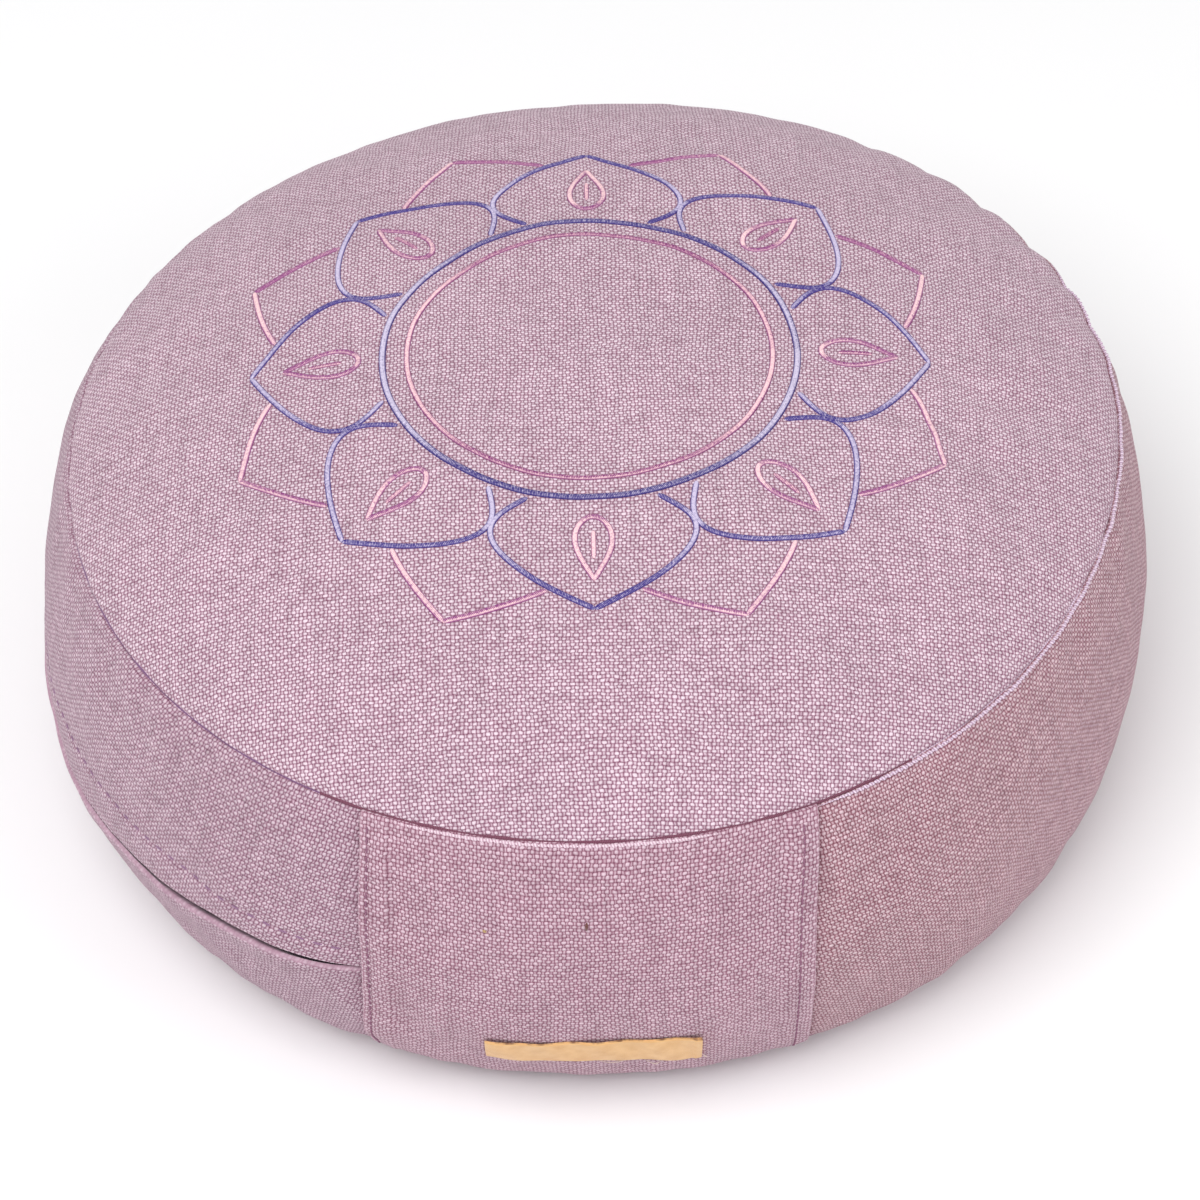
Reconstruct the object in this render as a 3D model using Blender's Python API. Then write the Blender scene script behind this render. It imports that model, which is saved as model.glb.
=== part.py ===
"""A round meditation cushion: one filled solid, and the cloth panels that are sewn round it.

Metres, +Z up. The origin is on the floor under the middle of the cushion, and the front band
panel faces -Y. Directions round the cushion are angles from +X, counter-clockwise from above.

The cushion's outer face is one formula. A place on it is a direction and a share of the way
along one part of the outline: the crown, from the middle out to the top seam, the band, from
the top seam down to the base seam, or the base, from there in to the edge of the flat foot.
A third number is the depth below the outer face, so that the layers of cloth, the placket
tape and the filling nest inside each other without touching.
"""

import math

import bmesh
import bpy
import numpy as np

# The whole cushion
HEIGHT = 0.150
SEAM_RADIUS = 0.1666
SEAM_HEIGHT = 0.116
BASE_RADIUS = 0.1663
BASE_SEAM_HEIGHT = 0.0055
FOOT_RADIUS = 0.148
CROWN_DISH = 0.43
BELLY = 0.0135
BELLY_AT = 0.533
BELLY_ROUNDNESS = 1.85
BAND_HEIGHT = SEAM_HEIGHT - BASE_SEAM_HEIGHT

# Where the form's axis stands, X and Y, so that the middle of the uneven whole is at the origin
MIDDLE = (0.0009, 0.0011)

# How far the hand-filled cushion is out of round: times round, cosine share, sine share
SEAM_WAVES = ((1, 0.0015, -0.0007), (2, -0.0020, 0.0024), (3, -0.0005, 0.0013), (4, -0.0005, 0.0003))
BASE_WAVES = ((1, 0.0004, -0.0006), (2, -0.0012, 0.0001), (3, 0.0003, -0.0007))
BELLY_WAVES = ((1, -0.0019, 0.0002), (2, -0.0009, 0.0000), (3, 0.0004, 0.0004), (4, -0.0002, 0.0002))

# Where the top seam is gathered at the back right: direction in degrees, depth of the pucker
PUCKERS = ((16, 0.0008), (23, 0.0012), (31, 0.0020), (39, 0.0020), (47, 0.0014), (55, 0.0010))
PUCKER_WIDTH_DEG = 2.2
PUCKER_REACH = 0.30
BETWEEN_PUCKERS_DEG = 4.0

# Cloth and sewing
CLOTH = 0.0018
GAP = 0.0004
SEAM_DRAW = 0.0016
SEAM_REACH = 0.0090
FOLDED_END = 0.008
FOLD_SLOPE = 0.002
FOLD_RISE = 0.0008

# The band's upright seams, in degrees
LEFT_SEAM = -113.3
RIGHT_SEAM = -69.7
BACK_SEAM = 100.0

# The placket in the left panel: its slit runs level and climbs a little to the front seam
SLIT_HEIGHT = 0.050
SLIT_CLIMB = 0.0093
SLIT_CLIMB_DEG = 22.0
SLIT_CLIMB_POWER = 3
SLIT_WIDTH = 0.0006
SLIT_GAPE = 0.0010
SLIT_GAPE_AT = -129.0
SLIT_GAPE_DEG = 10.0
FLAP_LIFT = 0.0007
TAPE_WIDTH = 0.010
TAPE = 0.0010
TAPE_DEPTH = CLOTH + 0.0008
RECESS_DEPTH = TAPE_DEPTH + TAPE + GAP

# The ribbon label on the front panel
LABEL_WIDTH = 0.063
LABEL_BOTTOM = 0.0270
LABEL_TOP = 0.0410
LABEL_AT = -91.0
LABEL = 0.0010
LABEL_GAP = 0.0006

# Steps of the surface: degrees round the cushion, and shares along each part of the outline
STEP_DEG = 5.0
CROWN_STEPS = (0.20, 0.40, 0.58, 0.73, 0.85, 0.94, 1.0)
BAND_STEPS_ABOVE = (0.0, 0.04, 0.12, 0.24, 0.38)
BESIDE_SLIT = 0.06
BAND_STEPS_BELOW = (0.76, 0.88, 0.96, 1.0)
LABEL_COLUMNS = 8
LABEL_ROWS = 3
BASE_STEPS = (0.0, 0.35, 0.7, 1.0)
TINY = 1e-4
SHARP_DEG = 50.0

# Plain colours of the pieces: red, green, blue, roughness
FINISHES = {
    "filled_cushion": (0.46, 0.33, 0.40, 0.90),
    "top_panel": (0.52, 0.36, 0.45, 0.90),
    "base_panel": (0.44, 0.31, 0.38, 0.90),
    "front_panel": (0.52, 0.36, 0.46, 0.90),
    "plain_panel": (0.47, 0.29, 0.38, 0.90),
    "placket_flap": (0.49, 0.34, 0.43, 0.90),
    "placket_strip": (0.50, 0.35, 0.44, 0.90),
    "placket_tape": (0.30, 0.24, 0.29, 0.85),
    "label": (0.75, 0.50, 0.25, 0.70),
}


def waves(theta, table):
    """The sum of a table's harmonics in each direction."""
    return sum(c * np.cos(k * theta) + s * np.sin(k * theta) for k, c, s in table)


def turned_from(theta, degrees):
    """How far each direction is turned from a given one, in degrees from -180 to 180."""
    return (np.degrees(theta) - degrees + 180) % 360 - 180


def pucker(theta):
    """How far the gathered top seam is pulled in: a pointed dip at each pucker."""
    return sum(d * np.exp(-np.abs(turned_from(theta, a)) / PUCKER_WIDTH_DEG) for a, d in PUCKERS)


def outline(theta, part, share):
    """Radius and height of the smooth outer face, before its seams are drawn in.

    The crown falls with the square and the fourth power of the share. The band runs straight
    from seam to seam, with a rounded belly added. The base curves down to the flat foot.
    """
    seam_radius = SEAM_RADIUS + waves(theta, SEAM_WAVES)
    base_radius = BASE_RADIUS + waves(theta, BASE_WAVES)
    if part == "crown":
        fall = CROWN_DISH * share**2 + (1 - CROWN_DISH) * share**4
        return share * seam_radius, HEIGHT - (HEIGHT - SEAM_HEIGHT) * fall
    if part == "band":
        upper = 0.5 * share / BELLY_AT
        lower = 0.5 + 0.5 * (share - BELLY_AT) / (1 - BELLY_AT)
        way = np.where(share < BELLY_AT, upper, lower)
        belly = (BELLY + waves(theta, BELLY_WAVES)) * (1 - np.abs(2 * way - 1) ** BELLY_ROUNDNESS)
        return seam_radius + (base_radius - seam_radius) * share + belly, SEAM_HEIGHT - BAND_HEIGHT * share
    return base_radius + (FOOT_RADIUS - base_radius) * share, BASE_SEAM_HEIGHT * (1 - share) ** 2


def outward(theta, part, share):
    """The direction out of the surface, as its shares along the radius and upward."""
    radius_before, height_before = outline(theta, part, share - TINY)
    radius_after, height_after = outline(theta, part, share + TINY)
    away, up = height_before - height_after, radius_after - radius_before
    size = np.hypot(away, up)
    return away / size, up / size


def seam_outward(theta, at_top):
    """The direction out of a seam, halfway between those of the two panels that it joins."""
    start, end = np.zeros_like(theta), np.ones_like(theta)
    round_panel = outward(theta, "crown", end) if at_top else outward(theta, "base", start)
    band = outward(theta, "band", start if at_top else end)
    away, up = round_panel[0] + band[0], round_panel[1] + band[1]
    size = np.hypot(away, up)
    return away / size, up / size


def seam_distance(part, share):
    """How far a place is from the nearest seam, along the cloth."""
    if part == "crown":
        return (1 - share) * SEAM_RADIUS
    if part == "band":
        return np.minimum(share, 1 - share) * BAND_HEIGHT
    return share * (BASE_RADIUS - FOOT_RADIUS)


def place(theta, part, share, depth):
    """Points at a depth below the outer face. Near a seam every layer leans to its middle."""
    theta, share, depth = np.broadcast_arrays(theta, share, depth)
    near = np.clip(1 - seam_distance(part, share) / SEAM_REACH, 0, 1)
    inward = depth + SEAM_DRAW * near**2
    if part != "base":
        from_top = 1 - share if part == "crown" else share
        inward = inward + pucker(theta) * np.clip(1 - from_top / PUCKER_REACH, 0, 1) ** 2
    away, up = outward(theta, part, share)
    at_top = part == "crown" or (part == "band" and np.all(share < 0.5))
    seam_away, seam_up = seam_outward(theta, at_top)
    away, up = away + near * (seam_away - away), up + near * (seam_up - up)
    size = np.hypot(away, up)
    radius, height = outline(theta, part, share)
    radius, height = radius - inward * away / size, height - inward * up / size
    return np.stack([MIDDLE[0] + radius * np.cos(theta), MIDDLE[1] + radius * np.sin(theta), height], -1)


def faces(theta, part, steps, upper, lower):
    """Rows of points for the outer and the inner face of a piece.

    Each depth is one number, one for each column, or a column with one for each row.
    """
    shape = len(steps), len(theta)
    depths = np.broadcast_to(upper, shape), np.broadcast_to(lower, shape)
    return [[place(theta, part, share, row) for share, row in zip(steps, rows)] for rows in depths]


def slit_share(theta):
    """The share of the band at which the placket slit runs. Other panels have a row there too."""
    turned = np.abs(turned_from(theta, LEFT_SEAM)) / SLIT_CLIMB_DEG
    climb = SLIT_CLIMB * np.exp(-(turned**SLIT_CLIMB_POWER))
    return (SEAM_HEIGHT - SLIT_HEIGHT - climb) / BAND_HEIGHT


def slit_half(theta):
    """Half the width of the slit, as a share of the band: it gapes where the flap stands off."""
    gape = SLIT_GAPE * np.exp(-((turned_from(theta, SLIT_GAPE_AT) / SLIT_GAPE_DEG) ** 2))
    return 0.5 * (SLIT_WIDTH + gape) / BAND_HEIGHT


def directions():
    """The directions of the columns all round: closer where the seam is puckered."""
    dips = [a for a, _ in PUCKERS]
    between = [0.5 * (a + b) for a, b in zip(dips, dips[1:])]
    fine = [dips[0] - BETWEEN_PUCKERS_DEG, *dips, *between, dips[-1] + BETWEEN_PUCKERS_DEG]
    clear = 0.5 * BETWEEN_PUCKERS_DEG
    coarse = [a for a in np.arange(0, 360, STEP_DEG) if a < fine[0] - clear or a > fine[-1] + clear]
    return np.radians(np.sort(fine + coarse))


def panel_directions(start, end, bends=()):
    """The columns of a panel between two upright seams, half a gap inside each of them."""
    half_gap = math.degrees(0.5 * GAP / SEAM_RADIUS)
    clear = 0.25 * STEP_DEG
    edges = [start + half_gap, *bends, end - half_gap]
    ring = np.degrees(directions())
    inside = [a for a in (*(ring - 360), *ring) if start < a < end]
    kept = [a for a in inside if all(abs(a - edge) > clear for edge in edges)]
    return np.radians(np.sort(edges + kept))


def steps_above(theta):
    """The shares of the rows of a band panel from the top seam to the last one above the slit."""
    return [0.5 * GAP / BAND_HEIGHT, *BAND_STEPS_ABOVE[1:], slit_share(theta) - BESIDE_SLIT]


def steps_below(theta):
    """The shares of the rows of a band panel from the first one below the slit to the base seam."""
    return [slit_share(theta) + BESIDE_SLIT, *BAND_STEPS_BELOW[:-1], 1 - 0.5 * GAP / BAND_HEIGHT]


def add_rows(made, rows):
    """One row of vertices for each row of points."""
    return [[made.verts.new(point) for point in row] for row in rows]


def join_rows(made, upper, lower, closed):
    """Quads between two rows of vertices, round to the first again if they are closed."""
    for i in range(len(upper) - (not closed)):
        j = (i + 1) % len(upper)
        made.faces.new((upper[i], upper[j], lower[j], lower[i]))


def fan(made, centre, ring):
    """Triangles from a ring of vertices to one point in its middle."""
    tip = made.verts.new(centre)
    for i, vertex in enumerate(ring):
        made.faces.new((tip, vertex, ring[(i + 1) % len(ring)]))


def round_sheet(outer, inner, outer_centre, inner_centre):
    """A round panel: rows of points from the middle out for each face, and a rim between."""
    made = bmesh.new()
    rims = []
    for rows, centre in ((outer, outer_centre), (inner, inner_centre)):
        rings = add_rows(made, rows)
        fan(made, centre, rings[0])
        for a, b in zip(rings, rings[1:]):
            join_rows(made, a, b, closed=True)
        rims.append(rings[-1])
    join_rows(made, *rims, closed=True)
    return made


def strip_sheet(outer, inner):
    """A panel with four edges: rows of points for each face, and walls round its edges."""
    made = bmesh.new()
    top, under = add_rows(made, outer), add_rows(made, inner)
    for rows in (top, under):
        for a, b in zip(rows, rows[1:]):
            join_rows(made, a, b, closed=False)
    for end in (0, -1):
        join_rows(made, top[end], under[end], closed=False)
        join_rows(made, [row[end] for row in top], [row[end] for row in under], closed=False)
    return made


def add_object(name, made):
    """Turns a bmesh into a named object with its faces outward and its own plain material."""
    bmesh.ops.recalc_face_normals(made, faces=made.faces[:])
    bmesh.ops.triangulate(made, faces=made.faces[:])
    mesh = bpy.data.meshes.new(name)
    made.to_mesh(mesh)
    made.free()
    mesh.shade_smooth()
    mesh.set_sharp_from_angle(angle=math.radians(SHARP_DEG))
    *colour, roughness = FINISHES[name]
    finish = bpy.data.materials.new(name)
    finish.use_nodes = True
    shader = finish.node_tree.nodes["Principled BSDF"]
    shader.inputs["Base Color"].default_value = (*colour, 1.0)
    shader.inputs["Roughness"].default_value = roughness
    shader.inputs["Metallic"].default_value = 0.0
    mesh.materials.append(finish)
    bpy.context.scene.collection.objects.link(bpy.data.objects.new(name, mesh))


def build_filled_cushion():
    """The filling in its round form, under all the cloth, with a shallow recess for the tape."""
    theta = directions()
    depth = CLOTH + GAP
    behind_placket = (np.degrees(theta) - BACK_SEAM) % 360 < LEFT_SEAM + 360 - BACK_SEAM
    tape_depth = np.where(behind_placket, RECESS_DEPTH, depth)
    beside_slit = [slit_share(theta) - BESIDE_SLIT, slit_share(theta) + BESIDE_SLIT]
    rows = [place(theta, "crown", share, depth) for share in CROWN_STEPS]
    rows += [place(theta, "band", share, depth) for share in BAND_STEPS_ABOVE[1:]]
    rows += [place(theta, "band", share, tape_depth) for share in beside_slit]
    rows += [place(theta, "band", share, depth) for share in BAND_STEPS_BELOW]
    rows += [place(theta, "base", share, depth) for share in BASE_STEPS[1:]]
    made = bmesh.new()
    rings = add_rows(made, rows)
    fan(made, (*MIDDLE, HEIGHT - depth), rings[0])
    for a, b in zip(rings, rings[1:]):
        join_rows(made, a, b, closed=True)
    fan(made, (*MIDDLE, depth), rings[-1])
    add_object("filled_cushion", made)


def build_top_panel():
    """The round panel over the crown, up to half a gap short of the seam."""
    steps = [*CROWN_STEPS[:-1], 1 - 0.5 * GAP / SEAM_RADIUS]
    outer, inner = faces(directions(), "crown", steps, 0, CLOTH)
    made = round_sheet(outer, inner, (*MIDDLE, HEIGHT), (*MIDDLE, HEIGHT - CLOTH))
    add_object("top_panel", made)


def build_base_panel():
    """The round panel underneath: flat where it rests, and turned up to the base seam."""
    steps = [*reversed(BASE_STEPS[1:]), 0.5 * GAP / (BASE_RADIUS - FOOT_RADIUS)]
    outer, inner = faces(directions(), "base", steps, 0, CLOTH)
    made = round_sheet(outer, inner, (*MIDDLE, 0), (*MIDDLE, CLOTH))
    add_object("base_panel", made)


def build_front_panel():
    """The short front panel. Its ends are folded under, so that they stand a little proud."""
    fold, slope = (math.degrees(size / SEAM_RADIUS) for size in (FOLDED_END, FOLD_SLOPE))
    bends = [LEFT_SEAM + fold, LEFT_SEAM + fold + slope, RIGHT_SEAM - fold - slope, RIGHT_SEAM - fold]
    theta = panel_directions(LEFT_SEAM, RIGHT_SEAM, bends)
    from_end = np.minimum(np.degrees(theta) - LEFT_SEAM, RIGHT_SEAM - np.degrees(theta))
    rise = FOLD_RISE * np.clip((fold + slope - from_end) / slope, 0, 1)
    steps = [*steps_above(theta), slit_share(theta), *steps_below(theta)]
    add_object("front_panel", strip_sheet(*faces(theta, "band", steps, -rise, CLOTH)))


def build_plain_panel():
    """The long plain panel, from the front panel round the right side to the back."""
    theta = panel_directions(RIGHT_SEAM, BACK_SEAM)
    steps = [*steps_above(theta), slit_share(theta), *steps_below(theta)]
    add_object("plain_panel", strip_sheet(*faces(theta, "band", steps, 0, CLOTH)))


def build_placket():
    """The left panel in two: a flap over the slit and a strip below it, with a tape behind."""
    theta = panel_directions(BACK_SEAM - 360, LEFT_SEAM)
    steps = [*steps_above(theta), slit_share(theta) - slit_half(theta)]
    lift = np.zeros((len(steps), 1))
    lift[-1] = FLAP_LIFT
    add_object("placket_flap", strip_sheet(*faces(theta, "band", steps, -lift, CLOTH - lift)))

    steps = [slit_share(theta) + slit_half(theta), *steps_below(theta)]
    add_object("placket_strip", strip_sheet(*faces(theta, "band", steps, 0, CLOTH)))

    theta = theta[1:-1]
    half = 0.5 * TAPE_WIDTH / BAND_HEIGHT
    steps = [slit_share(theta) - half, slit_share(theta) + half]
    add_object("placket_tape", strip_sheet(*faces(theta, "band", steps, TAPE_DEPTH, TAPE_DEPTH + TAPE)))


def build_label():
    """The bare ribbon label, sewn on near the bottom of the front panel."""
    half = 0.5 * LABEL_WIDTH / (BASE_RADIUS + 0.8 * BELLY)
    theta = math.radians(LABEL_AT) + np.linspace(-half, half, LABEL_COLUMNS)
    steps = (SEAM_HEIGHT - np.linspace(LABEL_TOP, LABEL_BOTTOM, LABEL_ROWS)) / BAND_HEIGHT
    add_object("label", strip_sheet(*faces(theta, "band", steps, -LABEL_GAP - LABEL, -LABEL_GAP)))


def main():
    for obj in list(bpy.data.objects):
        bpy.data.objects.remove(obj, do_unlink=True)
    build_filled_cushion()
    build_top_panel()
    build_base_panel()
    build_front_panel()
    build_plain_panel()
    build_placket()
    build_label()


main()
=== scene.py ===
# %% [markdown]
# # A round meditation cushion
# A zafu-style cushion is a drum of stuffed cloth: a round panel over the crown, another
# underneath, and an upright band between them. This lesson dresses its plain solids. Every
# surface is worked out with numpy from one formula for the cushion's outer face, so that
# panels, seams, stitches and embroidery all lie on the same shape.

# %% Load the frame
import math

import bpy
import numpy as np
from mathutils import Matrix


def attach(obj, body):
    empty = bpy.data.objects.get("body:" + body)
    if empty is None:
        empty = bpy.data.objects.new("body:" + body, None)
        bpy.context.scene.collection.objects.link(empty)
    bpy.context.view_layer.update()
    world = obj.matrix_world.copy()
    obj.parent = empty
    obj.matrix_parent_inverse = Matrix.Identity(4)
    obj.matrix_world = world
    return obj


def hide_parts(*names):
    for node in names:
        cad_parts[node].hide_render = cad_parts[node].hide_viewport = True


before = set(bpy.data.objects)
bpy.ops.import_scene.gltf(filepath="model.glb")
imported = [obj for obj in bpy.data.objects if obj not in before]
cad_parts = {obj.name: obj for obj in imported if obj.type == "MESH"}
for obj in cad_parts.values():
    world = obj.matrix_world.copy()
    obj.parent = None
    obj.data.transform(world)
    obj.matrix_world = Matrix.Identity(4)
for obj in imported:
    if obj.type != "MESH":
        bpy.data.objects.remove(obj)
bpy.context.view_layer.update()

MM = 0.001

# %% [markdown]
# ## Camera, floor and light
# The camera stands in front and looks down at 45 degrees through a long lens, as in the
# photo. The floor is plain and nearly white. One broad lamp at the upper left gives the
# cushion its shape, a weak one fills the right side, and the pale sky does the rest.

# %% Camera
CAMERA_AT = (0.0024, -0.8538, 0.9001)
CAMERA_DOWN_DEG = 45.14
CAMERA_ROLL_DEG = -1.25
CAMERA_LENS = 111.8

eye = bpy.data.objects.new("camera", bpy.data.cameras.new("camera"))
eye.data.lens = CAMERA_LENS
eye.data.sensor_width = 36
tilt = Matrix.Rotation(math.radians(90 - CAMERA_DOWN_DEG), 4, "X")
roll = Matrix.Rotation(math.radians(CAMERA_ROLL_DEG), 4, "Z")
eye.matrix_world = Matrix.Translation(CAMERA_AT) @ tilt @ roll
bpy.context.scene.collection.objects.link(eye)
bpy.context.scene.camera = eye
bpy.context.scene.view_settings.view_transform = "Standard"

# %% Lamps and sky
LAMPS = (
    # name, place, size, watts
    ("key", (-0.50, -0.75, 1.55), 1.2, 20.0),
    ("fill", (1.20, -0.60, 0.90), 0.9, 5.0),
)
SKY = 0.66

for name, lamp_at, size, watts in LAMPS:
    lamp = bpy.data.objects.new(name, bpy.data.lights.new(name, "AREA"))
    lamp.data.size = size
    lamp.data.energy = watts
    lamp.location = lamp_at
    lamp.rotation_euler = (-lamp.location).to_track_quat("-Z", "Y").to_euler()
    bpy.context.scene.collection.objects.link(lamp)
world = bpy.data.worlds.new("sky")
world.use_nodes = True
world.node_tree.nodes["Background"].inputs["Color"].default_value = (1.0, 1.0, 1.0, 1)
world.node_tree.nodes["Background"].inputs["Strength"].default_value = SKY
bpy.context.scene.world = world

# %% [markdown]
# ## Meshes from grids
# Everything here is a grid of points: rows along one parameter, columns along the other.
# A sheet of cloth is two such grids, an outer and an inner face, joined round their edges.
# A thread is a small profile carried along a path.

# %% Faces between rows of points
def quads_between(first, second):
    """Quads that join two equally long rows of vertex numbers."""
    return np.stack([first[:-1], first[1:], second[1:], second[:-1]], -1).reshape(-1, 4)


def grid_quads(rows, columns, start=0, round_columns=False, round_rows=False):
    """Quads of a grid of vertices, closed along its columns or rows if asked."""
    numbers = start + np.arange(rows * columns).reshape(rows, columns)
    if round_columns:
        numbers = np.concatenate([numbers, numbers[:, :1]], 1)
    if round_rows:
        numbers = np.concatenate([numbers, numbers[:1]], 0)
    corners = [numbers[:-1, :-1], numbers[:-1, 1:], numbers[1:, 1:], numbers[1:, :-1]]
    return np.stack(corners, -1).reshape(-1, 4)


def volume_of(points, faces):
    """Signed volume of a closed mesh: the sum of the tetrahedra from the origin to each face."""
    a, *rest = [points[faces[:, k]] for k in range(faces.shape[1])]
    return sum(np.einsum("ij,ij->", a, np.cross(b, c)) / 6 for b, c in zip(rest, rest[1:]))


# %% A piece from arrays
def new_piece(name, points, quads, triangles=None, uv=None, sharp_deg=60.0):
    """A mesh object from arrays, its faces turned outward by the sign of its volume."""
    points = points.reshape(-1, 3)
    triangles = np.zeros((0, 3), int) if triangles is None else triangles
    if volume_of(points, quads) + volume_of(points, triangles) < 0:
        quads, triangles = quads[:, ::-1], triangles[:, ::-1]
    corners = np.concatenate([quads.ravel(), triangles.ravel()]).astype(np.int32)
    sizes = np.concatenate([np.full(len(quads), 4), np.full(len(triangles), 3)]).astype(np.int32)
    mesh = bpy.data.meshes.new(name)
    mesh.vertices.add(len(points))
    mesh.vertices.foreach_set("co", points.ravel().astype(np.float32))
    mesh.loops.add(len(corners))
    mesh.loops.foreach_set("vertex_index", corners)
    mesh.polygons.add(len(sizes))
    mesh.polygons.foreach_set("loop_start", (np.cumsum(sizes) - sizes).astype(np.int32))
    mesh.update(calc_edges=True)
    if uv is not None:
        layer = mesh.uv_layers.new(name="cloth")
        layer.data.foreach_set("uv", uv.reshape(-1, 2)[corners].ravel().astype(np.float32))
    mesh.shade_smooth()
    mesh.set_sharp_from_angle(angle=math.radians(sharp_deg))
    piece = bpy.data.objects.new(name, mesh)
    bpy.context.scene.collection.objects.link(piece)
    print(f"{name}: {len(points)} points, {2 * len(quads) + len(triangles)} triangles")
    return piece


# %% Sheets of cloth
def sheet_piece(name, outer, inner, uv):
    """A closed sheet with four edges from two grids of the same shape."""
    rows, columns = outer.shape[:2]
    half = rows * columns
    top = np.arange(half).reshape(rows, columns)
    quads = np.concatenate([
        grid_quads(rows, columns),
        grid_quads(rows, columns, half)[:, ::-1],
        quads_between(top[0] + half, top[0]),
        quads_between(top[-1], top[-1] + half),
        quads_between(top[:, 0], top[:, 0] + half),
        quads_between(top[:, -1] + half, top[:, -1]),
    ])
    points = np.concatenate([outer.reshape(-1, 3), inner.reshape(-1, 3)])
    return new_piece(name, points, quads, uv=np.concatenate([uv.reshape(-1, 2)] * 2))


def disc_piece(name, outer, inner, outer_middle, inner_middle, uv):
    """A closed round sheet: each face is rings of points from the middle out, with a fan."""
    rows, columns = outer.shape[:2]
    half = rows * columns
    ring = np.append(np.arange(columns), 0)
    rim = ring + half - columns
    quads = np.concatenate([
        grid_quads(rows, columns, round_columns=True),
        grid_quads(rows, columns, half, round_columns=True)[:, ::-1],
        quads_between(rim, rim + half),
    ])
    fans = np.concatenate([
        np.stack([ring[1:], ring[:-1], np.full(columns, 2 * half)], -1),
        np.stack([ring[:-1] + half, ring[1:] + half, np.full(columns, 2 * half + 1)], -1),
    ])
    middles = [outer_middle, inner_middle]
    points = np.concatenate([outer.reshape(-1, 3), inner.reshape(-1, 3), middles])
    uv = np.concatenate([uv.reshape(-1, 2), uv.reshape(-1, 2), np.zeros((2, 2))])
    return new_piece(name, points, quads, fans, uv)


# %% [markdown]
# ## The cushion's outer face
# A place on the cushion is a direction, a part of the outline (crown, band or base), a share
# of the way along it, and a rise above the cloth. The formula is the one that the plain
# solids have. Near a seam, every layer leans to the seam's middle and is drawn in.

# %% The form in numbers
HEIGHT = 0.150
SEAM_RADIUS = 0.1666
SEAM_HEIGHT = 0.116
BASE_RADIUS = 0.1663
BASE_SEAM_HEIGHT = 0.0055
FOOT_RADIUS = 0.148
CROWN_DISH = 0.43
BELLY = 0.0135
BELLY_AT = 0.533
BELLY_ROUNDNESS = 1.85
BAND_HEIGHT = SEAM_HEIGHT - BASE_SEAM_HEIGHT
MEAN_BELLY = 0.6
BAND_RADIUS = SEAM_RADIUS + MEAN_BELLY * BELLY
MIDDLE = (0.0009, 0.0011)
# Harmonics: how often they go round, then their cosine's and their sine's size.
SEAM_WAVES = (
    (1, 0.0015, -0.0007), (2, -0.0020, 0.0024), (3, -0.0005, 0.0013), (4, -0.0005, 0.0003))
BASE_WAVES = ((1, 0.0004, -0.0006), (2, -0.0012, 0.0001), (3, 0.0003, -0.0007))
BELLY_WAVES = (
    (1, -0.0019, 0.0002), (2, -0.0009, 0.0000), (3, 0.0004, 0.0004), (4, -0.0002, 0.0002))
# Puckers: direction in degrees and depth.
PUCKERS = ((16, 0.0008), (23, 0.0012), (31, 0.0020), (39, 0.0020), (47, 0.0014), (55, 0.0010))
PUCKER_WIDTH_DEG = 2.2
PUCKER_REACH = 0.30
CLOTH = 0.0018
GAP = 0.0004
SEAM_DRAW = 0.0016
SEAM_REACH = 0.0090
TINY = 1e-4


def waves(theta, table):
    """The sum of a table's harmonics in each direction."""
    return sum(c * np.cos(k * theta) + s * np.sin(k * theta) for k, c, s in table)


def turned_from(theta, degrees):
    """How far each direction is turned from a given one, in degrees from -180 to 180."""
    return (np.degrees(theta) - degrees + 180) % 360 - 180


def pucker(theta):
    """How far the gathered top seam is pulled in: a pointed dip at each pucker."""
    return sum(d * np.exp(-np.abs(turned_from(theta, a)) / PUCKER_WIDTH_DEG) for a, d in PUCKERS)


# %% The outline and the direction out of it
def outline(theta, part, share):
    """Radius and height of the smooth face: crown with its square and fourth power, band
    straight between the seams with a rounded belly added, base curving to the flat foot."""
    seam_radius = SEAM_RADIUS + waves(theta, SEAM_WAVES)
    base_radius = BASE_RADIUS + waves(theta, BASE_WAVES)
    if part == "crown":
        fall = CROWN_DISH * share**2 + (1 - CROWN_DISH) * share**4
        return share * seam_radius, HEIGHT - (HEIGHT - SEAM_HEIGHT) * fall
    if part == "band":
        upper = 0.5 * share / BELLY_AT
        lower = 0.5 + 0.5 * (share - BELLY_AT) / (1 - BELLY_AT)
        way = np.where(share < BELLY_AT, upper, lower)
        belly = (BELLY + waves(theta, BELLY_WAVES)) * (1 - np.abs(2 * way - 1) ** BELLY_ROUNDNESS)
        radius = seam_radius + (base_radius - seam_radius) * share + belly
        return radius, SEAM_HEIGHT - BAND_HEIGHT * share
    return base_radius + (FOOT_RADIUS - base_radius) * share, BASE_SEAM_HEIGHT * (1 - share) ** 2


def outward(theta, part, share):
    """The direction out of the surface, as its shares along the radius and upward."""
    r0, z0 = outline(theta, part, share - TINY)
    r1, z1 = outline(theta, part, share + TINY)
    size = np.hypot(z0 - z1, r1 - r0)
    return (z0 - z1) / size, (r1 - r0) / size


def seam_outward(theta, upper):
    """The direction out of the top or base seam, halfway between its two panels'."""
    start, end = np.zeros_like(theta), np.ones_like(theta)
    a = outward(theta, "crown", end) if upper else outward(theta, "base", start)
    b = outward(theta, "band", start if upper else end)
    away, up = a[0] + b[0], a[1] + b[1]
    return away / np.hypot(away, up), up / np.hypot(away, up)


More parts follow.
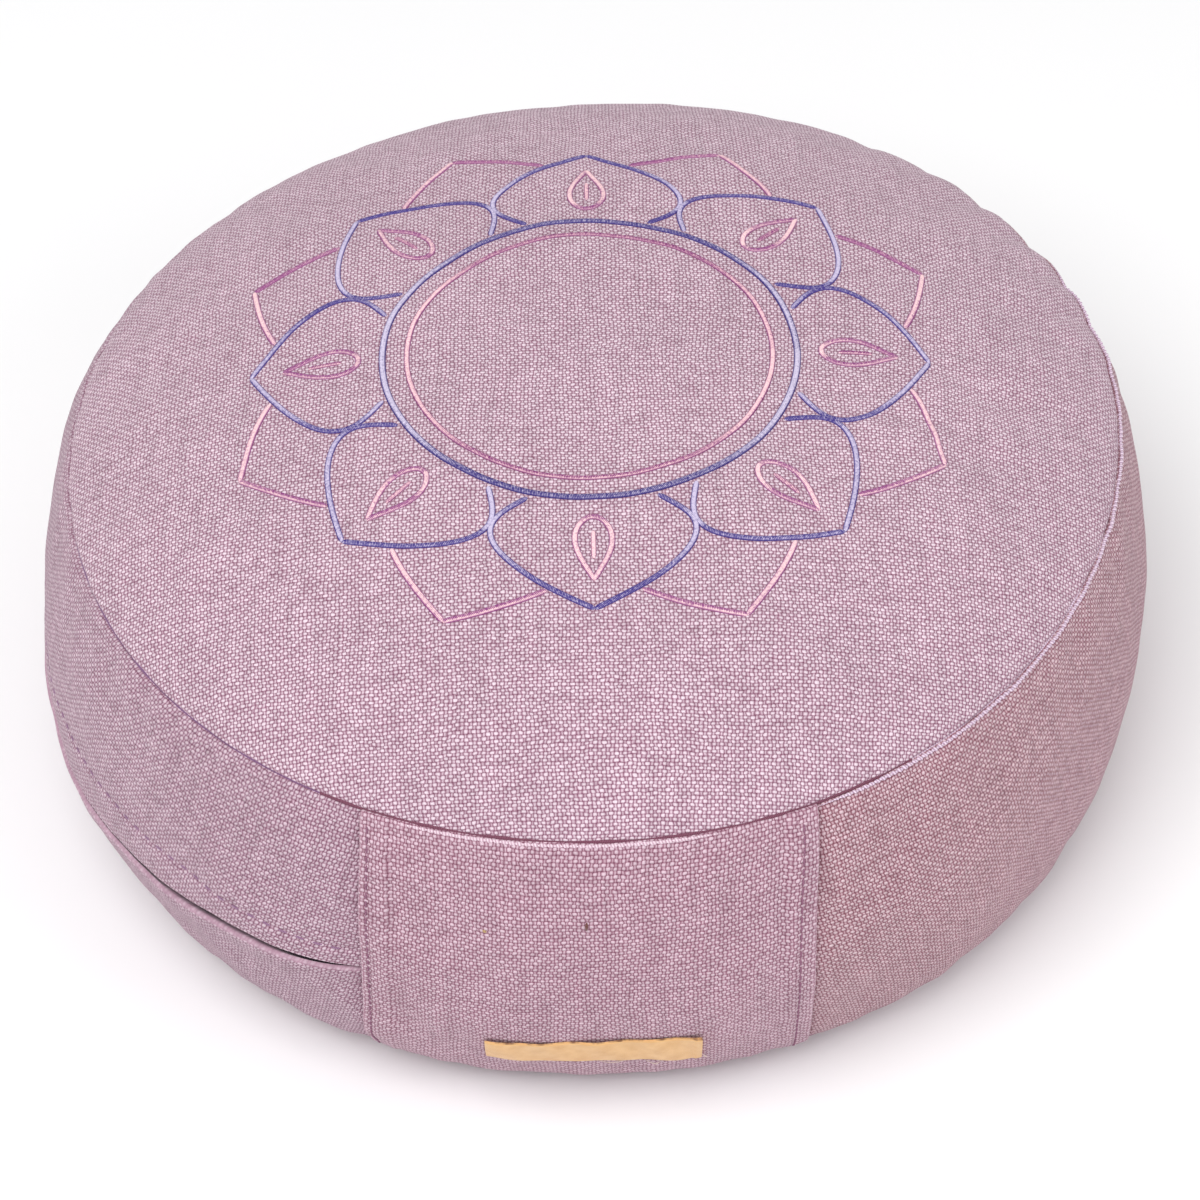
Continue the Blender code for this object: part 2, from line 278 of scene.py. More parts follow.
def solid_point(theta, part, share, rise):
    """Points of the plain solids, at a rise above (below zero, a depth under) the face."""
    distance = {
        "crown": (1 - share) * SEAM_RADIUS,
        "band": np.minimum(share, 1 - share) * BAND_HEIGHT,
        "base": share * (BASE_RADIUS - FOOT_RADIUS),
    }[part]
    near = np.clip(1 - distance / SEAM_REACH, 0, 1)
    inward = SEAM_DRAW * near**2 - rise
    if part != "base":
        from_top = 1 - share if part == "crown" else share
        inward = inward + pucker(theta) * np.clip(1 - from_top / PUCKER_REACH, 0, 1) ** 2
    upper, lower = seam_outward(theta, True), seam_outward(theta, False)
    at_top = np.full(share.shape, part == "crown") | ((part == "band") & (share < 0.5))
    away, up = outward(theta, part, share)
    away = away + near * (np.where(at_top, upper[0], lower[0]) - away)
    up = up + near * (np.where(at_top, upper[1], lower[1]) - up)
    size = np.hypot(away, up)
    radius, height = outline(theta, part, share)
    radius, height = radius - inward * away / size, height - inward * up / size
    x, y = MIDDLE[0] + radius * np.cos(theta), MIDDLE[1] + radius * np.sin(theta)
    return np.stack([x, y, height], -1)


# %% [markdown]
# ## The stuffing, swollen by a cloth simulation
# The real cushion is stuffed by hand with husks, which press its cover outward between the
# seams. So the filling's skin is given to the cloth solver as a closed grid, held at both
# seams and on the floor, a little too large for its frame and under pressure. What the solver
# adds to the smooth form is kept as a field of small moves, at most 3 mm. Its broad part is
# taken out, because the measured form already has its bulge and its slow waves. Every panel
# is laid over the same field.

# %% The field of moves
FIELD_COLUMNS = 216
FIELD_ROWS = {"crown": 34, "band": 26, "base": 8}
field = {part: np.zeros((rows, FIELD_COLUMNS, 3)) for part, rows in FIELD_ROWS.items()}
field_theta = np.arange(FIELD_COLUMNS) * 2 * np.pi / FIELD_COLUMNS


def spline_weights(x):
    """The four weights of a cubic B-spline at a share of the way between two knots."""
    outer = (1 - x) ** 3 / 6, x**3 / 6
    return outer[0], (3 * x**3 - 6 * x**2 + 4) / 6, (3 * x * (1 + x - x**2) + 1) / 6, outer[1]


def moved(theta, part, share):
    """The field's move at each place, smooth over four rows and four columns of the field."""
    table = field[part]
    rows = table.shape[0]
    row = np.clip(share, 0, 1) * (rows - 1)
    column = (theta / (2 * np.pi) * FIELD_COLUMNS) % FIELD_COLUMNS
    i, j = np.floor(row).astype(int), np.floor(column).astype(int)
    total = np.zeros(theta.shape + (3,))
    for a, down in enumerate(spline_weights(row - i), -1):
        for b, along in enumerate(spline_weights(column - j), -1):
            knot = table[np.clip(i + a, 0, rows - 1), (j + b) % FIELD_COLUMNS]
            total += (down * along)[..., None] * knot
    return total


# %% Cloth drawn aside and pressed in
LEFT_SEAM = -113.3
RIGHT_SEAM = -69.7
BACK_SEAM = 100.0
LEAN_REACH_DEG = 16.0
# In degrees: as much of the belly, as much of the way down, and a fixed turn.
LEFT_LEAN = (1.55, -1.3, -0.1)
RIGHT_LEAN = (-1.65, 0.0, 1.1)


def lean(theta, share):
    """How far the band's cloth is turned aside, in radians. The front panel is a rectangle,
    so its ends are turned in over the belly and out above and below it."""
    belly = 1 - np.abs(2 * share - 1) ** BELLY_ROUNDNESS
    turn = 0
    for seam, (swell, down, fixed) in ((LEFT_SEAM, LEFT_LEAN), (RIGHT_SEAM, RIGHT_LEAN)):
        near = np.exp(-((turned_from(theta, seam) / LEAN_REACH_DEG) ** 2))
        turn = turn + near * (swell * belly + down * share + fixed)
    return np.radians(turn)


HOLLOW = 3.2 * MM
HOLLOW_AT = 186.0
HOLLOW_WIDTH_DEG = 8.0
HOLLOW_HEIGHT = (0.40, 0.28)  # its middle and its reach, as shares of the band


def hollow(theta, share):
    """How deep the band is pressed in at the far left, where a hand has gripped it: a round
    dip with the exponential of the squared distance both ways."""
    beside = turned_from(theta, HOLLOW_AT) / HOLLOW_WIDTH_DEG
    above = (share - HOLLOW_HEIGHT[0]) / HOLLOW_HEIGHT[1]
    return HOLLOW * np.exp(-(beside**2) - above**2)


def point(theta, part, share, rise):
    """A point of the finished cushion: the plain form's point, moved with the stuffing."""
    theta, share, rise = np.broadcast_arrays(theta, share, rise)
    if part == "band":
        rise = rise - hollow(theta, share)
        theta = theta + lean(theta, share)
    return solid_point(theta, part, share, rise) + moved(theta, part, share)


# %% The stuffing's skin
SLIT_HEIGHT = 0.050
SLIT_CLIMB = 0.0093
SLIT_CLIMB_DEG = 22.0
SLIT_CLIMB_POWER = 3
TAPE_RECESS = 1.9 * MM
RECESS_HALF = 0.075
RECESS_POWER = 6


def slit_share(theta):
    """The share of the band at which the slit runs: level, climbing to the front seam."""
    turned = np.abs(turned_from(theta, LEFT_SEAM)) / SLIT_CLIMB_DEG
    climb = SLIT_CLIMB * np.exp(-(turned**SLIT_CLIMB_POWER))
    return (SEAM_HEIGHT - SLIT_HEIGHT - climb) / BAND_HEIGHT


def filling_grid():
    """Rows of points of the filling's skin from the crown's middle to the edge of the foot,
    just under the cloth, with a shallow channel behind the slit for the tape."""
    behind_slit = (np.degrees(field_theta) - BACK_SEAM) % 360 < LEFT_SEAM + 360 - BACK_SEAM
    rows = []
    for part, count in FIELD_ROWS.items():
        for share in np.linspace(0, 1, count)[1:]:
            beside = (share - slit_share(field_theta)) / RECESS_HALF
            channel = np.exp(-(beside**RECESS_POWER)) * behind_slit
            depth = CLOTH + GAP + TAPE_RECESS * channel * (part == "band")
            rows.append(point(field_theta, part, share, -depth))
    return np.stack(rows)


def filling_piece(name, grid):
    """The closed skin: the grid's quads and a fan at each pole."""
    rows, columns = grid.shape[:2]
    ring = np.append(np.arange(columns), 0)
    last = ring + (rows - 1) * columns
    fans = np.concatenate([
        np.stack([ring[1:], ring[:-1], np.full(columns, rows * columns)], -1),
        np.stack([last[:-1], last[1:], np.full(columns, rows * columns + 1)], -1),
    ])
    points = np.concatenate([grid.reshape(-1, 3), [grid[0].mean(0), grid[-1].mean(0)]])
    return new_piece(name, points, grid_quads(rows, columns, round_columns=True), fans)


# %% Run the cloth solver
SIM_FRAMES = 20
STUFFED_CLOTH = {
    "quality": 6,
    "mass": 0.2,
    "tension_stiffness": 18,
    "compression_stiffness": 18,
    "shear_stiffness": 8,
    "bending_stiffness": 0.4,
    "air_damping": 4,
    "vertex_group_mass": "held",
    "use_pressure": True,
    "uniform_pressure_force": 4,
    "shrink_min": -0.012,
}


def simulate_stuffing():
    """Blender's cloth solver on the filling's skin. Returns each grid point's move."""
    grid = filling_grid()
    rows, columns = grid.shape[:2]
    skin = filling_piece("stuffing_skin", grid)
    top_seam = FIELD_ROWS["crown"] - 2
    base_seam = top_seam + FIELD_ROWS["band"] - 1
    held = np.zeros((rows, columns), bool)
    held[top_seam] = True
    held[base_seam:] = True
    pins = skin.vertex_groups.new(name="held")
    pins.add([int(i) for i in np.flatnonzero(held)] + [rows * columns + 1], 1.0, "REPLACE")
    cloth = skin.modifiers.new("stuffed", "CLOTH")
    for setting, value in STUFFED_CLOTH.items():
        setattr(cloth.settings, setting, value)
    cloth.settings.effector_weights.gravity = 0
    cloth.collision_settings.use_collision = False
    for number in range(1, SIM_FRAMES + 1):
        bpy.context.scene.frame_set(number)
    swollen = skin.evaluated_get(bpy.context.evaluated_depsgraph_get())
    found = np.empty(len(swollen.data.vertices) * 3, np.float32)
    swollen.data.vertices.foreach_get("co", found)
    bpy.context.scene.frame_set(1)
    bpy.data.objects.remove(skin, do_unlink=True)
    return found.reshape(-1, 3)[: rows * columns].reshape(rows, columns, 3) - grid


# %% Keep the uneven part of the solver's moves
FIELD_LIMIT = 3.0 * MM
FIELD_KEPT = 0.9
CALM_MIDDLE = 0.15
MEASURED_WAVES = 6


def keep_uneven(moves):
    """Takes each ring's slow waves out by its Fourier terms, and caps what is left."""
    away = np.stack([np.cos(field_theta), np.sin(field_theta), 0 * field_theta], -1)
    around = np.stack([-away[:, 1], away[:, 0], away[:, 2]], -1)
    lift = np.broadcast_to([0.0, 0.0, 1.0], away.shape)
    uneven = np.zeros_like(moves)
    for axis in (away, around, lift):
        terms = np.fft.rfft((moves * axis).sum(-1), axis=1)
        terms[:, :MEASURED_WAVES + 1] = 0
        uneven += np.fft.irfft(terms, FIELD_COLUMNS, axis=1)[..., None] * axis
    size = np.linalg.norm(uneven, axis=-1, keepdims=True)
    return FIELD_KEPT * uneven * np.minimum(1, FIELD_LIMIT / np.maximum(size, 1e-9))


stuffed = simulate_stuffing()
print("the solver moved the skin by up to", round(np.abs(stuffed).max() / MM, 1), "mm")
stuffed = keep_uneven(stuffed)
calm = np.clip(np.linspace(0, 1, FIELD_ROWS["crown"])[1:] / CALM_MIDDLE, 0, 1)
stuffed[:len(calm)] *= (calm**2 * (3 - 2 * calm))[:, None, None]
print("kept, at most:", round(np.abs(stuffed).max() / MM, 2), "mm")
stuffed = np.concatenate([0 * stuffed[:1], stuffed])
first = 0
for part, count in FIELD_ROWS.items():
    field[part] = stuffed[first:first + count]
    first += count - 1

# %% [markdown]
# ## Woven cloth as a material
# The cover is a coarse plain weave with about 1.1 mm from thread to thread: pale weft nubs over
# a mauve ground, with dark pinholes where four threads meet. The colour follows the threads'
# height: each nub's top gets a painted highlight over its paler weft, and the pinholes and the
# low sides of the threads get painted shade. Modelling each thread would take millions of faces,
# so the weave is worked out in the material from a UV map in metres. The nubs lie like bricks in
# a wall: one over every second warp thread, each row shifted by one.

# %% Node helpers
def node_maker(tree):
    """A function that adds a node with its options and inputs, and gives back an output."""
    def make(kind, inputs=(), output=0, **options):
        node = tree.nodes.new("ShaderNode" + kind)
        for key, value in options.items():
            setattr(node, key, value)
        for key, value in inputs.items() if isinstance(inputs, dict) else enumerate(inputs):
            if isinstance(value, bpy.types.NodeSocket):
                tree.links.new(value, node.inputs[key])
            else:
                node.inputs[key].default_value = value
        return node.outputs[output]
    return make


def arithmetic(make):
    """A short form of the Math node: its operation, then its values."""
    def m(operation, *values):
        return make("Math", values, operation=operation)
    return m


def colour_mix(make, share, first, second):
    """A colour between two others, by a share."""
    return make("Mix", {0: share, 6: first, 7: second}, 2, data_type="RGBA")


def noise_of(make, vector, scale, detail=2.0):
    """Soft noise from 0 to 1 along a vector."""
    return make("TexNoise", {"Vector": vector, "Scale": scale, "Detail": detail})


def srgb(red, green, blue):
    """A colour from its eight-bit values, made linear."""
    values = np.array([red, green, blue]) / 255
    linear = np.where(values <= 0.04045, values / 12.92, ((values + 0.055) / 1.055) ** 2.4)
    return (*[float(x) for x in linear], 1.0)


SHEEN_ROUGHNESS = 0.45


def new_material(name, roughness, sheen=0.0, specular=0.3):
    """A material with its shader, the helpers to add nodes, and two functions that join a
    colour, and a height with its strength and depth, to the shader."""
    material = bpy.data.materials.new(name)
    material.use_nodes = True
    shader = material.node_tree.nodes["Principled BSDF"]
    shader.inputs["Roughness"].default_value = roughness
    shader.inputs["Sheen Weight"].default_value = sheen
    shader.inputs["Sheen Roughness"].default_value = SHEEN_ROUGHNESS
    shader.inputs["Specular IOR Level"].default_value = specular
    make, link = node_maker(material.node_tree), material.node_tree.links.new

    def paint(colour):
        link(colour, shader.inputs["Base Color"])

    def emboss(height, strength, depth):
        bump = make("Bump", {"Strength": strength, "Distance": depth, "Height": height})
        link(bump, shader.inputs["Normal"])

    return material, shader, make, arithmetic(make), paint, emboss


def cloth_uv(make):
    """The piece's own UV map in metres, and its parts across and along."""
    uv = make("UVMap", uv_map="cloth")
    return uv, make("SeparateXYZ", [uv]).node.outputs


# %% Threads that wander
# Scale of the noise, and how far it moves the threads, in threads.
THREAD_WANDER = ((45.0, 2.0), (380.0, 0.85))


def wandering(make, m, uv, x, y):
    """Thread numbers both ways, moved aside by coarse and by fine noise."""
    for scale, strength in THREAD_WANDER:
        noise = make("TexNoise", {"Vector": uv, "Scale": scale, "Detail": 2.0}, "Color")
        drift = make("SeparateXYZ", [noise]).node.outputs
        x = m("ADD", x, m("MULTIPLY", drift[0], strength))
        y = m("ADD", y, m("MULTIPLY", drift[1], strength))
    return x, y


# %% Nubs
NUB_STRAY = 0.20
NUB_HALVES = (0.68, 0.60)
WARP_HALVES = (0.42, 0.80)
WARP_HEIGHT = 0.55


def dome(m, across, along, halves):
    """Two cosines that fall to nothing at their half widths, multiplied."""
    first, second = [
        m("COSINE", m("MULTIPLY", way, 0.5 * math.pi / half))
        for way, half in zip((across, along), halves)]
    return m("MULTIPLY", m("MAXIMUM", first, 0.0), m("MAXIMUM", second, 0.0))


def nub_height(make, m, x, y, row):
    """Height of the threads from 0 to 1, and each nub's chance. A nub is a cosine both ways,
    wider than its warp thread. A lower dome, the warp's, shows between two nubs."""
    brick = m("MULTIPLY", m("ADD", x, row), 0.5)
    cell = make("CombineXYZ", [m("FLOOR", brick), row, 0.0])
    luck = make("TexWhiteNoise", {"Vector": cell}, "Color", noise_dimensions="2D")
    chance = make("SeparateXYZ", [luck]).node.outputs
    stray = [m("MULTIPLY", m("SUBTRACT", chance[way], 0.5), NUB_STRAY) for way in (1, 2)]
    across = m("ADD", m("MULTIPLY", m("SUBTRACT", m("FRACT", brick), 0.5), 2.0), stray[0])
    along = m("ADD", m("SUBTRACT", m("FRACT", y), 0.5), stray[1])
    between = m("SUBTRACT", 1.0, m("ABSOLUTE", across))
    warp = m("MULTIPLY", dome(m, between, along, WARP_HALVES), WARP_HEIGHT)
    return m("MAXIMUM", dome(m, across, along, NUB_HALVES), warp), chance[0]


# %% Slubs
SLUB_SCALE = 22.0
SLUB_SHIFT = 0.61
WARP_PLANE = 7.0
FIBRE_SCALE = 2600.0
MOTTLE_SCALE = 14.0
SLUBS = {"weft": 0.26, "warp": 0.34, "fibre": 0.30, "mottle": 0.14}


def slub_lightness(make, m, uv, place, x, row):
    """Lightness about 1: noise drawn out along both threads, fine fibres and a broad mottle.
    Each thread reads its own line of the noise."""
    number = m("FLOOR", x)
    weft = make(
        "CombineXYZ", [m("MULTIPLY", place[0], SLUB_SCALE), m("MULTIPLY", row, SLUB_SHIFT), 0.0])
    warp = make(
        "CombineXYZ",
        [m("MULTIPLY", number, SLUB_SHIFT), m("MULTIPLY", place[1], SLUB_SCALE), WARP_PLANE])
    lightness = 1.0
    for kind, vector, scale in (
        ("weft", weft, 1.0), ("warp", warp, 1.0),
        ("fibre", uv, FIBRE_SCALE), ("mottle", uv, MOTTLE_SCALE),
    ):
        change = m("MULTIPLY", m("SUBTRACT", noise_of(make, vector, scale), 0.5), SLUBS[kind])
        lightness = m("ADD", lightness, change)
    return lightness


# %% The weave
FOLD_LEVEL = 0.45
THREAD_SHOWS = 0.30
NUB_SHOWS = (0.18, 0.80)
LIGHT_LUCK = 0.16
HEIGHT_LUCK = 0.32
RELIEF_LUCK = 0.5
NUB_BRIGHT = 0.98
FIBRE_RELIEF = 0.45
WEAVE_DEPTH = 0.40 * MM


def woven_cloth(name, nub, ground, hole, pitch, contrast=1.0, skew=0.0):
    """Plain weave with a thick weft. In each row a weft nub lies over every second warp
    thread, one thread further on in the next row, and the corners are pinholes. Each nub
    strays a little and has its own brightness, and slubs run along both threads. The pitch
    is that of the warp and the weft, and the skew is how far the warp leans: warp threads for
    each weft thread. Where the mesh's attribute "fold" is above zero, the cloth is stretched
    smooth over a fold."""
    material, shader, make, m, paint, emboss = new_material(name, 0.85, sheen=0.2, specular=0.15)
    uv, place = cloth_uv(make)
    x, y = m("DIVIDE", place[0], pitch[0]), m("DIVIDE", place[1], pitch[1])
    x, y = wandering(make, m, uv, m("ADD", x, m("MULTIPLY", y, skew)), y)
    row = m("FLOOR", y)
    height, chance = nub_height(make, m, x, y, row)
    fold = make("Attribute", output=2, attribute_name="fold")
    plain = m("SUBTRACT", 1.0, fold)
    height = m("ADD", m("MULTIPLY", height, plain), m("MULTIPLY", fold, FOLD_LEVEL))
    luck = m("MULTIPLY", m("SUBTRACT", chance, 0.5), plain)
    lightness = slub_lightness(make, m, uv, place, x, row)
    lightness = m("ADD", lightness, m("MULTIPLY", luck, LIGHT_LUCK * contrast))
    # Colour by height: painted shade low between the threads and in the pinholes, and a painted
    # highlight on each nub's top over its paler weft.
    thread = make(
        "MapRange", [height, 0.0, THREAD_SHOWS, 0.0, 1.0], interpolation_type="SMOOTHSTEP")
    bright = m("MULTIPLY", height, m("ADD", m("MULTIPLY", luck, HEIGHT_LUCK), NUB_BRIGHT))
    top = make("MapRange", [bright, *NUB_SHOWS, 0.0, 1.0], interpolation_type="SMOOTHSTEP")
    under = colour_mix(make, thread, srgb(*hole), srgb(*ground))
    woven = colour_mix(make, top, under, srgb(*nub))
    paint(make("VectorMath", {0: woven, 3: lightness}, operation="SCALE"))
    uneven = m("MULTIPLY", height, m("ADD", m("MULTIPLY", luck, RELIEF_LUCK), 1.0))
    relief = m("ADD", uneven, m("MULTIPLY", noise_of(make, uv, FIBRE_SCALE), FIBRE_RELIEF))
    emboss(relief, 0.8 * contrast, WEAVE_DEPTH)
    return material


# %% Five lengths of cloth
TOP_PITCH = (1.165 * MM, 1.045 * MM)
FRONT_PITCH = (1.145 * MM, 1.145 * MM)
BAND_PITCH = (1.14 * MM, 1.10 * MM)
BAND_CONTRAST = 1.2
PLAIN_SKEW = 0.21
LEFT_SKEW = -0.22
# Colours: the nubs, the ground between them and the pinholes' painted shade. The five are one
# fabric: the top's lighter colours and the plain panel's darker, redder ones are painted light
# and painted shade.
top_cloth = woven_cloth(
    "top cloth", (222, 203, 214), (165, 125, 144), (104, 52, 78), TOP_PITCH)
front_cloth = woven_cloth(
    "front cloth", (210, 185, 197), (161, 116, 134), (98, 48, 70), FRONT_PITCH)
plain_cloth = woven_cloth(
    "plain cloth", (213, 187, 195), (160, 109, 123), (92, 35, 49),
    BAND_PITCH, BAND_CONTRAST, PLAIN_SKEW)
left_cloth = woven_cloth(
    "left cloth", (208, 186, 198), (161, 119, 139), (90, 43, 66),
    BAND_PITCH, BAND_CONTRAST, LEFT_SKEW)
base_cloth = woven_cloth(
    "base cloth", (208, 180, 193), (158, 120, 138), (96, 56, 76), BAND_PITCH)

# %% [markdown]
# ## The stuffed form
# Under the cloth lies the filling in its inner cover. It shows only as the shape of the
# panels, and at the bottom of the seams, where its dark colour is painted shade. It is one
# closed padded piece.

# %% Stuffed form
def inner_cotton():
    """Cotton with a fine mottle, on object coordinates, dark as painted shade at the bottom of the
    seams.
    """
    material, shader, make, m, paint, emboss = new_material("inner cotton", 0.9)
    mottle = noise_of(make, make("TexCoord", output="Object"), 900.0, 3.0)
    paint(colour_mix(make, mottle, srgb(92, 60, 80), srgb(128, 92, 112)))
    emboss(mottle, 0.5, 0.2 * MM)
    return material


stuffed_form = filling_piece("stuffed_form", filling_grid())
stuffed_form.data.materials.append(inner_cotton())
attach(stuffed_form, "root")
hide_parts("filled_cushion")

# %% [markdown]
# ## How the cloth lies
# Cloth bends sharply only at its folds and seams, so the grids are fine there and coarse in
# between. Between the seams it carries broad, shallow ripples, and beside the top seam it is
# gathered in short pulls. A folded or sewn edge is rounded like the end of a roll.

# %% Grid spacing
EDGE_STEPS = np.array([0.0, 0.12, 0.26, 0.42, 0.62, 0.88, 1.2, 1.6, 2.1, 2.8, 3.7, 4.8, 6.2]) * MM
MARK_STEPS = np.array([-2.0, -1.3, -0.8, -0.4, 0.0, 0.4, 0.8, 1.3, 2.0]) * MM


def spread(length, step, marks=()):
    """Places from 0 to a length, about a step apart, and closer near both ends and marks."""
    reach = EDGE_STEPS[-1]
    middle = np.linspace(reach, length - reach, max(3, round((length - 2 * reach) / step)))
    for mark in marks:
        middle = middle[np.abs(middle - mark) > abs(MARK_STEPS[0]) + 0.3 * step]
    fine = [mark + MARK_STEPS for mark in marks]
    return np.sort(np.concatenate([EDGE_STEPS[:-1], middle, length - EDGE_STEPS[:-1], *fine]))


# %% Ripples, gathers and rounded edges
RIPPLES = (
    # length, direction in degrees, phase, size
    (0.071, 20, 0.3, 0.32 * MM),
    (0.047, 75, 1.7, 0.24 * MM),
    (0.033, 130, 4.4, 0.16 * MM),
    (0.021, 50, 2.9, 0.09 * MM),
    (0.014, 160, 5.6, 0.05 * MM),
)
# How often they go round, phase and share.
GATHERS = ((41, 0.3, 0.5), (67, 2.1, 0.3), (97, 4.0, 0.2))
GATHER = 0.32 * MM
GATHER_REACH = 7.0 * MM
RIPPLES_FADE = 8.0 * MM


def ripples(x, y, seam):
    """Broad, shallow waves of the cloth in several directions, which fade near a seam."""
    total = 0
    for length, degrees, phase, size in RIPPLES:
        way = x * math.cos(math.radians(degrees)) + y * math.sin(math.radians(degrees))
        total = total + size * np.sin(2 * np.pi * way / length + phase)
    return total * (1 - np.exp(-seam / RIPPLES_FADE))


def gathers(theta, seam):
    """Short pulls across the top seam: sines round the cushion that die away from it."""
    pull = sum(share * np.sin(k * theta + phase) for k, phase, share in GATHERS)
    return GATHER * pull * np.exp(-seam / GATHER_REACH)


def ridge(distance, width, size):
    """A smooth ridge, or with a size below zero a groove, where the distance is 0."""
    return size * np.exp(-((distance / width) ** 2))


def rounded(distance, radius):
    """The rounded edge of a roll: a quarter circle that falls by its radius at the edge."""
    inside = np.clip(distance / radius, 0, 1)
    return radius * (np.sqrt(1 - (1 - inside) ** 2) - 1)


# %% Finish a sheet
def finish_sheet(piece, material, node, flat, area=None):
    """Material, body and replaced node of a sheet of cloth. The flat size is not used."""
    piece.data.materials.append(material)
    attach(piece, "root")
    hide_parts(node)
    return piece


# %% [markdown]
# ## Round panels
# The top panel is a disc cut with its threads straight across. The stuffing domes it, and
# where it meets the band it rolls down into the seam. Its UV map is the flat disc, so the
# weave stays straight over the crown as it does on the real one. The base panel is flat where
# it rests on the floor, and turns up to the base seam.

# %% Top panel
SEAM_ROLL = 1.0 * MM
ROUND_COLUMNS = 420
round_theta = np.arange(ROUND_COLUMNS) * 2 * np.pi / ROUND_COLUMNS


def disc_uv(reach):
    """The flat disc: each ring's distance from the middle along the cloth, turned round."""
    return reach[:, None, None] * np.stack([np.cos(round_theta), np.sin(round_theta)], -1)


def crown_rise(theta, share):
    """Ripples over the crown, gathers beside the seam and the roll down into it."""
    seam = (1 - share) * SEAM_RADIUS
    x, y = share * SEAM_RADIUS * np.cos(theta), share * SEAM_RADIUS * np.sin(theta)
    lie = ripples(x, y, seam) + gathers(theta, seam)
    return lie + ridge(seam - 3 * MM, 2.2 * MM, 0.2 * MM) + rounded(seam, SEAM_ROLL)


def top_panel_piece():
    """The crown as rings of points from the middle out to half a gap short of the seam."""
    places = spread(2 * SEAM_RADIUS - GAP, 2.3 * MM) - SEAM_RADIUS + 0.5 * GAP
    share = places[places > 1.5 * MM] / SEAM_RADIUS
    rise = crown_rise(round_theta, share[:, None])
    outer = point(round_theta, "crown", share[:, None], rise)
    inner = point(round_theta, "crown", share[:, None], -CLOTH)
    radius, height = outline(np.zeros_like(share), "crown", share)
    steps = np.hypot(np.diff(radius), np.diff(height))
    reach = radius[0] + np.concatenate([[0], np.cumsum(steps)])
    middle = np.array([*MIDDLE, HEIGHT + crown_rise(0.0, 0.0)])
    under = np.array([*MIDDLE, HEIGHT - CLOTH])
    piece = disc_piece("top_cover", outer, inner, middle, under, disc_uv(reach))
    flat, area = (2 * reach[-1],) * 2, math.pi * reach[-1] ** 2
    return finish_sheet(piece, top_cloth, "top_panel", flat, area)


top_cover = top_panel_piece()

# %% Base panel
FOOT_RINGS = 24
FOOT_START = 2.0 * MM
CURVE_LENGTH = 1.06  # of the base's curve, as a multiple of its width in plan


def base_panel_piece():
    """Flat rings out to the edge of the foot, then the base's curve up to the seam."""
    rings = np.linspace(FOOT_START, FOOT_RADIUS, FOOT_RINGS)[:-1]
    turn = BASE_RADIUS - FOOT_RADIUS
    share = 1 - spread(turn - 0.5 * GAP, 1.5 * MM) / turn
    rise = rounded(share[:, None] * turn, SEAM_ROLL)
    way = np.stack([np.cos(round_theta), np.sin(round_theta), 0 * round_theta], -1)
    plan = rings[:, None, None] * way
    lift = np.array([0, 0, CLOTH])
    foot = np.array([*MIDDLE, 0])
    outer = np.concatenate([foot + plan, point(round_theta, "base", share[:, None], rise)])
    inner = np.concatenate([foot + lift + plan, point(round_theta, "base", share[:, None], -CLOTH)])
    reach = np.concatenate([rings, FOOT_RADIUS + (1 - share) * turn * CURVE_LENGTH])
    piece = disc_piece("base_cover", outer, inner, foot, foot + lift, disc_uv(reach))
    flat, area = (2 * reach[-1],) * 2, math.pi * reach[-1] ** 2
    return finish_sheet(piece, base_cloth, "base_panel", flat, area)


base_cover = base_panel_piece()

# %% [markdown]
# ## The band's panels
# The band is sewn from three lengths. The short front panel has both ends folded under and
# stitched down, so they stand a little proud. The plain panel runs round the right side to
# the back. The left one is cut in two along the placket: the upper half is a flap with a wide
# hem, the lower one a strip. Each is a sheet whose rise above the form is a sum of folds,
# grooves and dimples, as functions of the distance to the nearest edge.

# %% Laying a band panel
def columns_between(start, end, step, marks=()):
    """Directions of a panel's columns, half a gap inside its two upright seams."""
    length = math.radians(end - start) * BAND_RADIUS - GAP
    return math.radians(start) + (0.5 * GAP + spread(length, step, marks)) / BAND_RADIUS


def rows_between(top, bottom, step):
    """Shares of a panel's rows in each direction, between two edges."""
    height = np.max(bottom - top) * BAND_HEIGHT
    return top + (bottom - top) * (spread(height, step) / height)[:, None]


def band_rise(theta, share):
    """What all band panels share: ripples, gathers, and rolls into the top and base seams."""
    top, base = share * BAND_HEIGHT, (1 - share) * BAND_HEIGHT
    lie = ripples(theta * BAND_RADIUS, top, np.minimum(top, base)) + gathers(theta, top)
    lie = lie + ridge(top - 2.4 * MM, 1.6 * MM, 0.3 * MM)
    return lie + rounded(top, SEAM_ROLL) + rounded(base, SEAM_ROLL)


BELLY_LENGTH = 1.03  # of the cloth over the belly, as a multiple of the upright distance


def lay_panel(name, theta, share, rise, material, node, cut_back=0.0, fold=0.0):
    """A band panel as a closed sheet, with the weave's UV along and across the band. Its
    inner face may be cut back from an edge, by a share of the band. The fold says how smooth
    the cloth is stretched at each place."""
    theta, share = np.broadcast_arrays(theta, share)
    rise = rise + band_rise(theta, share)
    outer = point(theta, "band", share, rise)
    inner = point(theta, "band", share + cut_back, -CLOTH)
    uv = np.stack([theta * BAND_RADIUS, -share * BAND_HEIGHT * BELLY_LENGTH], -1)
    piece = sheet_piece(name, outer, inner, uv)
    smooth = np.broadcast_to(fold, theta.shape).reshape(-1)
    attribute = piece.data.attributes.new("fold", "FLOAT", "POINT")
    attribute.data.foreach_set("value", np.concatenate([smooth, smooth]).astype(np.float32))
    length = (theta[0, -1] - theta[0, 0]) * BAND_RADIUS
    height = np.mean(share[-1] - share[0]) * BAND_HEIGHT * BELLY_LENGTH
    return finish_sheet(piece, material, node, (length, height))


TOP_EDGE = 0.5 * GAP / BAND_HEIGHT
BASE_EDGE = 1 - TOP_EDGE

